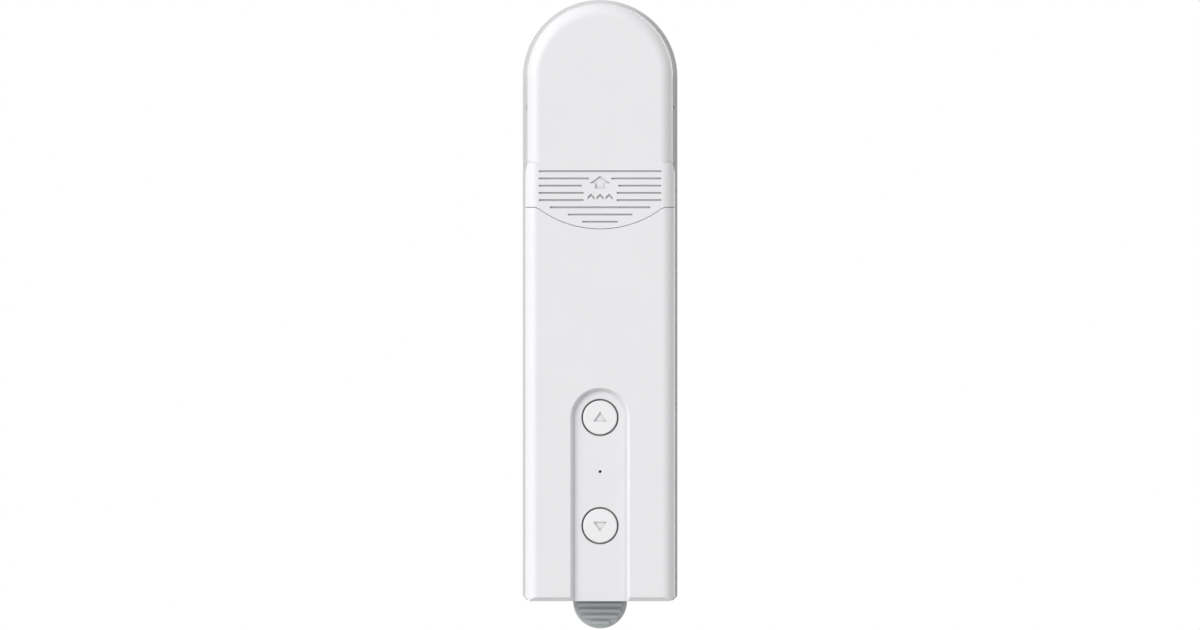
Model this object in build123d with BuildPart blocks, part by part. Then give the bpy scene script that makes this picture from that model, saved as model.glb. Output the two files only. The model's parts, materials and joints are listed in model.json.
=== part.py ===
from build123d import *
import os
from math import acos, asin, atan, cos, degrees, pi, radians, sin, sqrt, tan

# Roller shade motor for a beaded chain loop, in millimetres.
# +Z is up, the wall is the plane Y = 0 and the front faces -Y.
# A depth is a distance in front of the wall, so a point at depth d has Y = -d.
# The origin is on the wall, midway along the body and between the bracket's screws.

# Body
BODY_WIDTH = 53.3
BODY_LENGTH = 207.0
BODY_DEPTH = 39.0
FRONT_DEPTH = 14.5
WALL = 1.8
SKIN = 2.0
FRONT_SETBACK = 0.9
COVER_SETBACK = 0.75
EDGE_ROUND = 4.35
CORNER_CUT = 1.5
FOOT_BAND = 1.35
BACK_CHAMFER = 1.2
LIP_THICK = 1.0
LIP_DEEP = 1.5
FIT_GAP = 0.15
SLIDE_GAP = 0.2
THREAD_GAP = 0.02
PAST = 1.0

# Wall bracket and its rail
PLATE_THICK = 2.5
PLATE_WIDTH = 36.0
PLATE_BORDER = 1.5
PLATE_CORNER = 6.0
PLATE_GAP = 0.5
RAIL_WIDTH = 24.0
RAIL_LENGTH = 152.0
RAIL_LOW_RISE = 13.0
NECK_WIDTH = 18.0
RAIL_THICK = 1.8
RAIL_LEAD = 0.6
SLOT_WALL = 1.8
STOP_GAP = 0.1
WALL_SCREW_SPACING = 60.0
WALL_SCREW_LIFT = 14.5
WALL_SCREW_R = 2.1
WALL_HEAD_R = 4.2
WALL_HEAD_DEEP = 2.2
PAD_THICK = 0.8
PAD_WIDTH = 24.0
PAD_MARGIN = 4.75
PAD_CORNER = 2.0

# Bulkhead above the motor, and the seam between the front shell and the sliding cover.
# The seam's rises are measured up from the bulkhead, the flare's from the seam's ends.
BULKHEAD_GAP = 3.85
SEAM_SIDE_RISE = 11.95
SEAM_LOW_RISE = 4.5
SEAM_CORNER_INSET = 4.89
SEAM_SHOULDER_R = 4.0
SEAM_GAP = 0.2
FLARE_LOW_RISE = 11.65
FLARE_HIGH_RISE = 15.25
LEDGE_REACH = 2.5
LEDGE_THICK = 1.6

# Sliding cover; a drop is measured down from the body's top, a rise up from the seam's ends
COVER_WALL = 1.5
COVER_SKIN = 1.8
CHAIN_SLOT_ANGLE = 66.6
CHAIN_SLOT_DEEP = 7.8
NOTCH_DROP = 37.45
NOTCH_HIGH = 1.7
SKIRT_PROUD = 0.6
SKIRT_HIGH = 7.3
GUIDE_LOW_RISE = 4.05
GUIDE_HIGH_DROP = 29.5
GUIDE_WIDTH = 2.1
GUIDE_BACK = 1.7
GUIDE_FRONT = 1.6
GROOVE_WIDTH = 1.4
GROOVE_DEEP = 1.1
RUNNER_INSET = 1.0
GRIP_TOP_RISE = 12.25
GRIP_PITCH = 2.48
GRIP_WIDTH = 0.6
GRIP_DEEP = 0.6
GRIP_ROWS = [(0.0, 3.95), (3.8, 3.95), (6.25, 3.95), (5.65, 3.95), (5.65, 3.95),
             (0.0, 7.7), (0.0, 13.9), (0.0, 18.9)]
ARROW_TOP_RISE = 10.65
ARROW_HEAD_HIGH = 2.5
ARROW_HEAD_HALF = 3.55
ARROW_STEM_HALF = 1.67
ARROW_STEM_HIGH = 1.8
CHEVRON_RISE = 3.95
CHEVRON_COUNT = 3
CHEVRON_PITCH = 3.1
CHEVRON_HALF = 1.2
CHEVRON_BAR = 0.8
MARK_DEEP = 0.5

# Channel, buttons and light in the front shell. The upper button is measured down from the
# board's top edge, the lower one up from the body's foot, and the light is midway.
CHANNEL_WIDTH = 20.4
CHANNEL_SLOPE = 1.1
CHANNEL_DEEP = 2.0
CHANNEL_FLOOR = 1.6
UP_BUTTON_DROP = 20.4
DOWN_BUTTON_RISE = 25.9
BUTTON_R = 5.85
BUTTON_GAP = 0.5
BUTTON_PROUD = 0.4
BUTTON_EDGE = 0.3
BUTTON_TRAVEL = 0.6
FLANGE_R = 7.0
FLANGE_THICK = 0.9
TRIANGLE_HALF = 2.25
TRIANGLE_HIGH = 3.3
TRIANGLE_SHIFT = 0.3
LIGHT_HOLE_R = 0.5
LIGHT_GUIDE_R = 1.2
LIGHT_GUIDE_RISE = 1.0
LIGHT_GUIDE_GAP = 0.3

# Chain wheel, for 4.5 mm beads at a 6 mm pitch
BEAD_R = 2.25
BEAD_PITCH = 6.0
BEAD_PLAY = 0.15
WHEEL_RIM = 1.6
WHEEL_FRONT_GAP = 2.4
WHEEL_FLANGE = 1.1
WHEEL_GAP = 0.7
WHEEL_SINK = 1.5
WHEEL_DISH = 2.2
WHEEL_HUB_R = 5.6
WHEEL_WEB = 1.5
WHEEL_EDGE = 0.25
WHEEL_CORE_RISE = 1.25
STRING_WIDTH = 1.9
WASHER_R = 3.4
WASHER_THICK = 0.5
GUARD_GAP = 1.0
GUARD_THICK = 1.4
GUARD_HIGH = 8.4
SHAFT_R = 3.0
SHAFT_EDGE = 0.3
FLAT_DEEP = 0.7
RUN_GAP = 0.04
BUSH_WALL = 1.5
BUSH_FLANGE = 1.2
BUSH_FLANGE_THICK = 0.8
END_PLAY = 0.1

# Gear train, from the motor pinion up to the output gear: module, teeth, width of each mesh
PRESSURE_ANGLE = 25.0
ADDENDUM = 0.9
DEDENDUM = 1.2
ROOT_RISE = 0.1
BACKLASH = 0.12
FIRST_MODULES = [0.5, 0.6, 0.8]
DRIVER_TEETH = [10, 12, 12, 12]
DRIVEN_TEETH = [40, 40, 40, 36]
GEAR_GAP = 0.5
LAYER_WIDTHS = [2.5, 2.8, 3.0]
AXLE_R = [1.0, 1.25, 1.5]
HUB_WALL = 1.0
CASE_WALL = 1.4
CASE_BASE = 1.5
CASE_LOW_R = 14.0
CASE_ROOM = 0.6
CASE_LOW_RISE = 2.0
CASE_SHELL_GAP = 0.45
EAR_OFFSET = 1.5
TOP_EAR_ANGLE = 40.0
LOW_EAR_ANGLE = 20.0
GEAR_HOLE_CIRCLE = 11.2
GEAR_HOLE_R = 2.6
GEAR_HOLES = 6
OUTPUT_HUB_WALL = 2.5

# Motor
MOTOR_R = 12.2
MOTOR_GAP = 0.7
MOTOR_CAN = 0.9
CAN_EDGE = 0.6
MAGNET_THICK = 2.2
AIR_GAP = 0.5
POLES = 5
POLE_SLOT = 1.6
POLE_SLOT_DEEP = 4.7
CORE_START = 2.5
MAGNET_OVERHANG = 1.0
MOTOR_SHAFT_R = 1.0
MOTOR_SPIGOT_R = 3.0
MOTOR_SPIGOT_HIGH = 1.2
MOTOR_SHAFT_INSET = 0.4
MOTOR_SCREW_CIRCLE = 17.0
ENCODER_R = 4.2
ENCODER_THICK = 2.0
ENCODER_GAP = 0.3
CAP_THICK = 1.6
COMMUTATOR_R = 3.0
COMMUTATOR_LENGTH = 2.9
COMMUTATOR_GAP = 0.3
MAGNET_SPLIT = 6.0
HALL_WIDTH = 8.0
HALL_HIGH = 4.4
HALL_THICK = 1.0
HALL_GAP = 0.6
HALL_CHIP = (3.0, 2.0, 0.9)

# Cells and main board: the cells fill the room between the screw posts, and from the foot to the motor
CELL_LOW_RISE = 21.5
CELL_TOP_GAP = 8.75
CELL_SIDE_GAP = 0.3
CELL_GAP = 0.4
CELL_EDGE = 0.8
CELL_TIP_R = 3.3
CELL_TIP_HIGH = 1.0
CONTACT_THICK = 0.4
CONTACT_SIZE = 9.2
TRAY_THICK = 1.2
TRAY_FRAME = 10.0
TRAY_SIDE = 6.5
BOARD_THICK = 1.6
BOARD_SIDE_GAP = 1.95
BOARD_TOP_GAP = 11.75
BOARD_END_GAP = 1.0
BOARD_SIDE_INSET = 5.0
BOARD_POST_LOW = 8.0
BOARD_POST_HIGH = 10.0
SWITCH_SIZE = 6.0
SWITCH_HIGH = 3.5
SWITCH_EDGE = 0.4
CHIP_CORNER = 0.3
CHIP_EDGE = 0.2
PLUNGER_R = 1.7
PLUNGER_LONG = 1.4
PLUNGER_GAP = 0.1
LED_SIZE = (1.6, 0.8, 0.7)
CAPACITOR_R = 3.15
CAPACITOR_HIGH = 5.4
PORT_WIDTH = 8.94
PORT_HIGH = 3.2
PORT_LENGTH = 7.3
PORT_SHEET = 0.3
PORT_TONGUE = 6.7
PORT_TONGUE_THICK = 0.7
PORT_TONGUE_INSET = 0.9
PORT_BACK = 1.2
PORT_INSET = 0.4
LEAD_R = 0.7
LEAD_SPACING = 3.0
LEAD_ROOM = 2.4
TERMINAL_HIGH = 1.8
PLUG_WIDTH = 6.4
PLUG_LONG = 4.6
PLUG_HIGH = 4.8
PLUG_GAP = 1.5
CELL_PLUG_X = 8.0
LEAD_BEND = 2.2
CELL_LEAD_INSET = 4.0

# Screws: head radius, head height and shank radius, then lengths and how deep they bite.
# The cross recess and the head's rounding are shares of the head.
CROSS_SPAN = 1.1
CROSS_WIDTH = 0.28
CROSS_DEEP = 0.9
HEAD_ROUND = 0.4
SHELL_SCREW = (2.0, 1.4, 1.1)
SMALL_SCREW = (1.7, 1.1, 0.9)
WHEEL_SCREW = (2.6, 1.6, 1.5)
POST_R = 2.7
SMALL_POST_R = 2.1
FOOT_POST_RISE = 7.0
MIDDLE_POST_RISE = 4.0
HIGH_POST_DROP = 5.5
DECK_POST_ANGLE = 44.1
DECK_POST_INSET = 2.8
DECK_POST_SIDE = 12.0
DECK_POST_LIFT = 6.0
POST_SINK = 0.35
SHELL_SCREW_LENGTH = 11.0
SHELL_SEAT = 5.0
BOARD_BITE = 4.0
GEARBOX_BITE = 5.0
WHEEL_BITE = 7.0
BITE_ROOM = 1.0
DECK_SEAT = 1.0
EAR_WALL = 0.3

# Release tab and its cam
PIVOT_RISE = 13.5
PIVOT_OFFSET = 5.0
PIN_R = 1.25
BARREL_R = 3.0
BARREL_HALF = 6.0
BARREL_ROOM = 0.5
EAR_THICK = 2.4
EAR_BORDER = 0.4
PIN_CHAMFER = 0.2
SPRING_ROOM = 2.8
CAM_ANGLE = 21.0
CAM_TIP_R = 1.2
CAM_GAP = 0.07
TAB_HALF = 9.3
TAB_REACH = 10.1
TAB_THICK = 2.6
TAB_FORWARD = 0.5
TAB_ROOM = 0.3
TAB_EDGE = 0.5
TAB_NECK = 1.2
RIB_HALVES = [8.0, 7.4, 6.2, 3.2]
RIB_TOP_GAP = 1.95
RIB_PITCH = 2.07
RIB_HIGH = 0.8
RIB_WIDTH = 1.1
RIB_ROUND = 0.35
SPRING_WIRE_R = 0.3
SPRING_WHOLE_TURNS = 2
SPRING_PLAY = 0.5
SPRING_TURN_GAP = 0.12
SPRING_LEG = 7.0
SPRING_TOUCH = 0.05

# Places worked out from the sizes above
HALF = BODY_WIDTH / 2
FRONT_HALF = HALF - FRONT_SETBACK
COVER_HALF = FRONT_HALF - COVER_SETBACK
TOP = BODY_LENGTH / 2
BOTTOM = -BODY_LENGTH / 2
ARCH_Z = TOP - HALF
BACK = PLATE_THICK + PLATE_GAP
FRONT = BACK + BODY_DEPTH
PARTING = FRONT - FRONT_DEPTH
DECK_FRONT = PARTING + SKIN
FRONT_INNER = FRONT - SKIN
COVER_BACK = DECK_FRONT + SLIDE_GAP
COVER_INNER = FRONT - COVER_SKIN
FLOOR_TOP = FRONT - CHANNEL_DEEP
FLOOR_BACK = FLOOR_TOP - CHANNEL_FLOOR
LEDGE_FRONT = COVER_INNER - 2 * SLIDE_GAP
RAIL_BACK = BACK + SKIN + SLIDE_GAP
RAIL_FRONT = RAIL_BACK + RAIL_THICK
RAIL_LOW = BOTTOM + RAIL_LOW_RISE
RAIL_HIGH = RAIL_LOW + RAIL_LENGTH
SLOT_INNER = RAIL_FRONT + SLIDE_GAP
NOTCH_Z = TOP - NOTCH_DROP
GUIDE_HIGH_Z = TOP - GUIDE_HIGH_DROP
DOWN_BUTTON_Z = BOTTOM + DOWN_BUTTON_RISE
PIVOT_Z = BOTTOM + PIVOT_RISE
PIVOT_DEPTH = RAIL_FRONT + PIVOT_OFFSET
TAB_BACK = PIVOT_DEPTH - TAB_THICK / 2 + TAB_FORWARD
TAB_FRONT = TAB_BACK + TAB_THICK
TAB_LOW_Z = BOTTOM - TAB_REACH
EAR_INNER = BARREL_HALF + SPRING_ROOM
EAR_OUTER = EAR_INNER + EAR_THICK

# The wheel holds as many beads as fit inside the guides of the sliding cover
GUIDE_OUTER = COVER_HALF - COVER_WALL - 2 * SLIDE_GAP
WHEEL_ROOM_R = GUIDE_OUTER - GUIDE_WIDTH - GUARD_THICK / 2 - GUARD_GAP
BEAD_COUNT = int(pi / asin(BEAD_PITCH / (2 * (WHEEL_ROOM_R - BEAD_R - WHEEL_RIM))))
CHAIN_R = BEAD_PITCH / (2 * sin(pi / BEAD_COUNT))
WHEEL_R = CHAIN_R + BEAD_R + WHEEL_RIM
WHEEL_BACK = DECK_FRONT + WHEEL_GAP
WHEEL_FRONT = COVER_INNER - WHEEL_FRONT_GAP
WHEEL_THICK = WHEEL_FRONT - WHEEL_BACK

# Depths of the gearbox and the motor
CASE_BACK = SLOT_INNER + SLOT_WALL
CASE_INNER = CASE_BACK + CASE_BASE
LAYER_1 = CASE_INNER + GEAR_GAP
LAYER_2 = LAYER_1 + LAYER_WIDTHS[0] + GEAR_GAP
LAYER_3 = LAYER_2 + LAYER_WIDTHS[1] + GEAR_GAP
CASE_RIM = LAYER_3 + LAYER_WIDTHS[2] + GEAR_GAP
CASE_FRONT = CASE_RIM + CASE_BASE
POST_SPLIT = CASE_FRONT
MOTOR_FRONT = FRONT_INNER - MOTOR_GAP
MOTOR_LENGTH = MOTOR_FRONT - CASE_FRONT

# The output gear fills the round top, and the other centres stack down from it to the motor shaft
EAR_R = SMALL_SCREW[0] + EAR_WALL
CASE_TOP_R = HALF - WALL - CASE_SHELL_GAP - EAR_OFFSET - EAR_R
OUTPUT_TIP_R = CASE_TOP_R - CASE_WALL - CASE_ROOM
MODULES = FIRST_MODULES + [OUTPUT_TIP_R / (DRIVEN_TEETH[3] / 2 + ADDENDUM)]
STEPS = [m * (a + b) / 2 for m, a, b in zip(MODULES, DRIVER_TEETH, DRIVEN_TEETH)]
GEAR_3_Z = ARCH_Z - STEPS[3]
GEAR_2_Z = GEAR_3_Z - STEPS[2]
GEAR_1_Z = GEAR_2_Z - STEPS[1]
MOTOR_Z = GEAR_1_Z - STEPS[0]
GEAR_Z = [GEAR_1_Z, GEAR_2_Z, GEAR_3_Z]
CASE_LOW_Z = MOTOR_Z + CASE_LOW_RISE

# The bulkhead closes the room above the motor, and the seam and the cover's marks lie above it
BULKHEAD_Z = MOTOR_Z + MOTOR_R + BULKHEAD_GAP
SEAM_SIDE_Z = BULKHEAD_Z + SEAM_SIDE_RISE
SEAM_LOW_Z = BULKHEAD_Z + SEAM_LOW_RISE
FLARE_LOW_Z = SEAM_SIDE_Z + FLARE_LOW_RISE
FLARE_HIGH_Z = SEAM_SIDE_Z + FLARE_HIGH_RISE
GUIDE_LOW_Z = SEAM_SIDE_Z + GUIDE_LOW_RISE
GRIP_TOP_Z = SEAM_SIDE_Z + GRIP_TOP_RISE
ARROW_TOP_Z = SEAM_SIDE_Z + ARROW_TOP_RISE
CHEVRON_Z = SEAM_SIDE_Z + CHEVRON_RISE

# Buttons, switches and the board stack back from the channel's floor
BUTTON_TOP = FLOOR_TOP + BUTTON_PROUD
FLANGE_FRONT = FLOOR_BACK - SLIDE_GAP
FLANGE_BACK = FLANGE_FRONT - FLANGE_THICK
PLUNGER_TOP = FLANGE_BACK - FIT_GAP
SWITCH_TOP = PLUNGER_TOP - BUTTON_TRAVEL - FIT_GAP
BOARD_FRONT = SWITCH_TOP - SWITCH_HIGH
BOARD_BACK = BOARD_FRONT - BOARD_THICK
BOARD_LOW_Z = BOTTOM + WALL + BOARD_END_GAP
BOARD_TOP_Z = MOTOR_Z - MOTOR_R - BOARD_TOP_GAP
BOARD_WIDTH = 2 * (FRONT_HALF - WALL - BOARD_SIDE_GAP)
BOARD_SIDE_X = BOARD_WIDTH / 2 - BOARD_SIDE_INSET
UP_BUTTON_Z = BOARD_TOP_Z - UP_BUTTON_DROP
LIGHT_Z = (UP_BUTTON_Z + DOWN_BUTTON_Z) / 2

# Cells, as large as the posts beside them and the board in front of them allow
POST_X = FRONT_HALF - WALL - POST_R + POST_SINK
SIDE_ROOM = POST_X - POST_R - CELL_SIDE_GAP - CELL_GAP / 2
DEPTH_ROOM = BOARD_BACK - SMALL_SCREW[1] - TRAY_THICK - 2 * SLIDE_GAP - CASE_BACK - CELL_GAP
CELL_R = min(SIDE_ROOM, DEPTH_ROOM) / 2
CELL_DEPTH = CASE_BACK + CELL_GAP + CELL_R
CELL_X = CELL_R + CELL_GAP / 2
CELL_TOP_Z = MOTOR_Z - MOTOR_R - CELL_TOP_GAP
CELL_BOTTOM_Z = BOTTOM + CELL_LOW_RISE
CELL_LENGTH = CELL_TOP_Z - CELL_BOTTOM_Z
TRAY_BACK = CELL_DEPTH + CELL_R + SLIDE_GAP
TRAY_LOW_Z = CELL_BOTTOM_Z - CONTACT_THICK - TRAY_THICK
TRAY_HIGH_Z = CELL_TOP_Z + CONTACT_THICK + TRAY_THICK
TRAY_HALF = 2 * CELL_R + CELL_GAP / 2

# Screw and post places, as X and Z
POST_ZS = (BOTTOM + FOOT_POST_RISE, CELL_TOP_Z + MIDDLE_POST_RISE, BULKHEAD_Z - HIGH_POST_DROP)
SHELL_POSTS = [(x, z) for x in (-POST_X, POST_X) for z in POST_ZS]
BOARD_POST_ZS = (BOARD_LOW_Z + BOARD_POST_LOW, BOARD_TOP_Z - BOARD_POST_HIGH)
BOARD_POSTS = [(x, z) for x in (-BOARD_SIDE_X, BOARD_SIDE_X) for z in BOARD_POST_ZS]
DECK_POST_R = CASE_TOP_R - DECK_POST_INSET
DECK_POST_X = DECK_POST_R * cos(radians(DECK_POST_ANGLE))
DECK_POST_Z = ARCH_Z + DECK_POST_R * sin(radians(DECK_POST_ANGLE))
DECK_POSTS = [(-DECK_POST_X, DECK_POST_Z), (DECK_POST_X, DECK_POST_Z)]
DECK_POSTS += [(side * DECK_POST_SIDE, GEAR_2_Z + DECK_POST_LIFT) for side in (-1, 1)]


def at(depth):
    """Plane at a depth, facing the front: its x is X and its y is Z."""
    return Plane.XZ.offset(depth)


def facing_wall(depth):
    """Plane at a depth, facing the wall: its x is -X and its y is Z."""
    return Plane(origin=(0, -depth, 0), x_dir=(-1, 0, 0), z_dir=(0, 1, 0))


def spots(plane, points):
    """Places on a plane for a list of its x, y points."""
    return [plane.location * Location((x, y, 0)) for x, y in points]


def arched_face(half, low, cut=0.0):
    """Face with a half-round top about the arch centre, straight sides and cut bottom corners."""
    with BuildSketch() as face:
        with BuildLine():
            Polyline((-half, ARCH_Z), (-half, low), (half, low), (half, ARCH_Z))
            ThreePointArc((half, ARCH_Z), (0, ARCH_Z + half), (-half, ARCH_Z))
        make_face()
        if cut:
            chamfer(face.vertices().group_by(Axis.Y)[0], cut)
    return face.sketch


def above_seam(lift):
    """Face of everything above the seam line, with the line lifted by a little."""
    side = SEAM_SIDE_Z + lift
    low = SEAM_LOW_Z + lift
    corner = HALF - SEAM_CORNER_INSET
    with BuildSketch() as face:
        with BuildLine():
            Polyline((corner, side), (HALF + PAST, side), (HALF + PAST, TOP + PAST),
                     (-HALF - PAST, TOP + PAST), (-HALF - PAST, side), (-corner, side))
            ThreePointArc((-corner, side), (0, low), (corner, side))
        make_face()
        corners = face.vertices().filter_by(lambda v: abs(abs(v.X) - corner) < 0.01)
        fillet(corners, SEAM_SHOULDER_R)
    return face.sketch


def front_form(half, back):
    """Solid front of the body: arched outline, rounded front edges, cut corners, chamfered foot."""
    with BuildPart() as form:
        with BuildSketch(at(back)):
            add(arched_face(half, BOTTOM - EDGE_ROUND))
        extrude(amount=FRONT - back)
        rim = form.faces().sort_by(Axis.Y)[0].edges().sort_by(Axis.Z)[1:]
        fillet(rim, EDGE_ROUND)
        with BuildSketch(Plane.YZ):
            with BuildLine():
                Polyline((-back, BOTTOM), (FOOT_BAND - FRONT, BOTTOM), (-FRONT, BOTTOM + FOOT_BAND),
                         (-FRONT, TOP), (-back, TOP), close=True)
            make_face()
        extrude(amount=half, both=True, mode=Mode.INTERSECT)
        with BuildSketch(at(back)):
            add(arched_face(half, BOTTOM, CORNER_CUT))
        extrude(amount=FRONT - back, mode=Mode.INTERSECT)
    return form.part


def screw(sizes, length):
    """Pan head screw with a cross recess; its head stands on the XY plane and its shank points down."""
    head_r, head_high, shank_r = sizes
    span = head_r * CROSS_SPAN
    width = head_r * CROSS_WIDTH
    deep = head_high * CROSS_DEEP
    with BuildPart() as body:
        Cylinder(head_r, head_high, align=(Align.CENTER, Align.CENTER, Align.MIN))
        fillet(body.edges().sort_by(Axis.Z)[-1], head_high * HEAD_ROUND)
        Cylinder(shank_r, length, align=(Align.CENTER, Align.CENTER, Align.MAX))
        with Locations((0, 0, head_high)):
            Box(span, width, deep, mode=Mode.SUBTRACT)
            Box(width, span, deep, mode=Mode.SUBTRACT)
    return body.part


def involute(angle):
    """Involute function of an angle in radians."""
    return tan(angle) - angle


def gear_face(module, teeth, start):
    """Spur gear outline with a tooth centred on the start angle, in degrees."""
    pitch_r = module * teeth / 2
    base_r = pitch_r * cos(radians(PRESSURE_ANGLE))
    tip_r = pitch_r + ADDENDUM * module
    root_r = pitch_r - DEDENDUM * module
    low_r = max(base_r, root_r + ROOT_RISE * module)
    middle_r = (low_r + tip_r) / 2
    at_pitch = pi / (2 * teeth) - BACKLASH / (2 * pitch_r) / 2 + involute(radians(PRESSURE_ANGLE))

    def flank(radius, tooth, side):
        half_angle = at_pitch - involute(acos(min(1.0, base_r / radius)))
        angle = radians(start) + 2 * pi * tooth / teeth + side * half_angle
        return (radius * cos(angle), radius * sin(angle))

    def root(tooth, side):
        half_angle = at_pitch - involute(acos(min(1.0, base_r / low_r)))
        angle = radians(start) + 2 * pi * tooth / teeth + side * half_angle
        return (root_r * cos(angle), root_r * sin(angle))

    with BuildSketch() as face:
        with BuildLine():
            for tooth in range(teeth):
                Line(root(tooth, -1), flank(low_r, tooth, -1))
                ThreePointArc(flank(low_r, tooth, -1), flank(middle_r, tooth, -1), flank(tip_r, tooth, -1))
                Line(flank(tip_r, tooth, -1), flank(tip_r, tooth, 1))
                ThreePointArc(flank(tip_r, tooth, 1), flank(middle_r, tooth, 1), flank(low_r, tooth, 1))
                Line(flank(low_r, tooth, 1), root(tooth, 1))
                Line(root(tooth, 1), root(tooth + 1, -1))
        make_face()
    return face.sketch


def tooth_up(stage):
    """The driving gear of a stage has a tooth that points straight up."""
    return gear_face(MODULES[stage], DRIVER_TEETH[stage], 90)


def gap_down(stage):
    """The driven gear of a stage has a gap that points straight down."""
    return gear_face(MODULES[stage], DRIVEN_TEETH[stage], 270 + 180 / DRIVEN_TEETH[stage])


def shaft_face(radius, flat):
    """Round section with one flat, for a shaft or its hole."""
    with BuildSketch() as face:
        Circle(radius)
        with Locations((0, radius - flat)):
            Rectangle(2 * radius, 2 * flat, align=(Align.CENTER, Align.MIN), mode=Mode.SUBTRACT)
    return face.sketch


def case_face(inset):
    """Gearbox outline: a taut loop round the output gear, the last two compound gears and the motor's end."""
    with BuildSketch() as face:
        with Locations((0, ARCH_Z)):
            Circle(CASE_TOP_R - inset)
        for stage in (1, 2):
            tip_r = MODULES[stage] * (DRIVEN_TEETH[stage] / 2 + ADDENDUM)
            with Locations((0, GEAR_Z[stage])):
                Circle(tip_r + CASE_ROOM + CASE_WALL - inset)
        with Locations((0, CASE_LOW_Z)):
            Circle(CASE_LOW_R - inset)
        make_hull()
    return face.sketch


def wire(path, radius):
    """Round wire along a path."""
    with BuildPart() as run:
        with BuildSketch(Plane(origin=path @ 0, z_dir=path % 0)):
            Circle(radius)
        sweep(path=path)
    return run.part


def finish(builder, name):
    """Labels a piece and writes it to its own file."""
    builder.part.label = name
    export_step(builder.part, "parts/" + name + ".step")


os.makedirs("parts", exist_ok=True)

# Wall bracket: plate on the wall, and a rail with a wide head that holds the driver
PLATE_MIDDLE_Z = (RAIL_LOW + RAIL_HIGH) / 2
LOW_SCREW_Z = PLATE_MIDDLE_Z + WALL_SCREW_LIFT - WALL_SCREW_SPACING / 2
HIGH_SCREW_Z = PLATE_MIDDLE_Z + WALL_SCREW_LIFT + WALL_SCREW_SPACING / 2
WALL_SCREWS = [(0, LOW_SCREW_Z), (0, HIGH_SCREW_Z)]
PAD_LENGTH = RAIL_HIGH - HIGH_SCREW_Z - 2 * PAD_MARGIN
PADS = [(0, (RAIL_LOW + LOW_SCREW_Z) / 2), (0, (RAIL_HIGH + HIGH_SCREW_Z) / 2)]
with BuildPart() as wall_bracket:
    with BuildSketch(at(0)):
        with Locations((0, PLATE_MIDDLE_Z)):
            RectangleRounded(PLATE_WIDTH, RAIL_LENGTH + 2 * PLATE_BORDER, PLATE_CORNER)
    extrude(amount=PLATE_THICK)
    with BuildSketch(at(PLATE_THICK)):
        with Locations((0, PLATE_MIDDLE_Z)):
            Rectangle(NECK_WIDTH, RAIL_LENGTH)
    extrude(amount=RAIL_BACK - PLATE_THICK)
    with BuildSketch(at(RAIL_BACK)):
        with Locations((0, PLATE_MIDDLE_Z)):
            Rectangle(RAIL_WIDTH, RAIL_LENGTH)
    extrude(amount=RAIL_THICK)
    chamfer(wall_bracket.faces().sort_by(Axis.Y)[0].edges().filter_by(Axis.X), RAIL_LEAD)
    with Locations(*spots(at(RAIL_FRONT), WALL_SCREWS)):
        CounterBoreHole(WALL_SCREW_R, WALL_HEAD_R, WALL_HEAD_DEEP)
    with BuildSketch(at(0)):
        with Locations(*PADS):
            RectangleRounded(PAD_WIDTH, PAD_LENGTH, PAD_CORNER)
    extrude(amount=PAD_THICK, mode=Mode.SUBTRACT)
finish(wall_bracket, "wall_bracket")

with BuildPart() as adhesive_pads:
    with BuildSketch(at(0)):
        with Locations(*PADS):
            RectangleRounded(PAD_WIDTH - 2 * FIT_GAP, PAD_LENGTH - 2 * FIT_GAP, PAD_CORNER - FIT_GAP)
    extrude(amount=PAD_THICK)
finish(adhesive_pads, "adhesive_pads")

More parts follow.
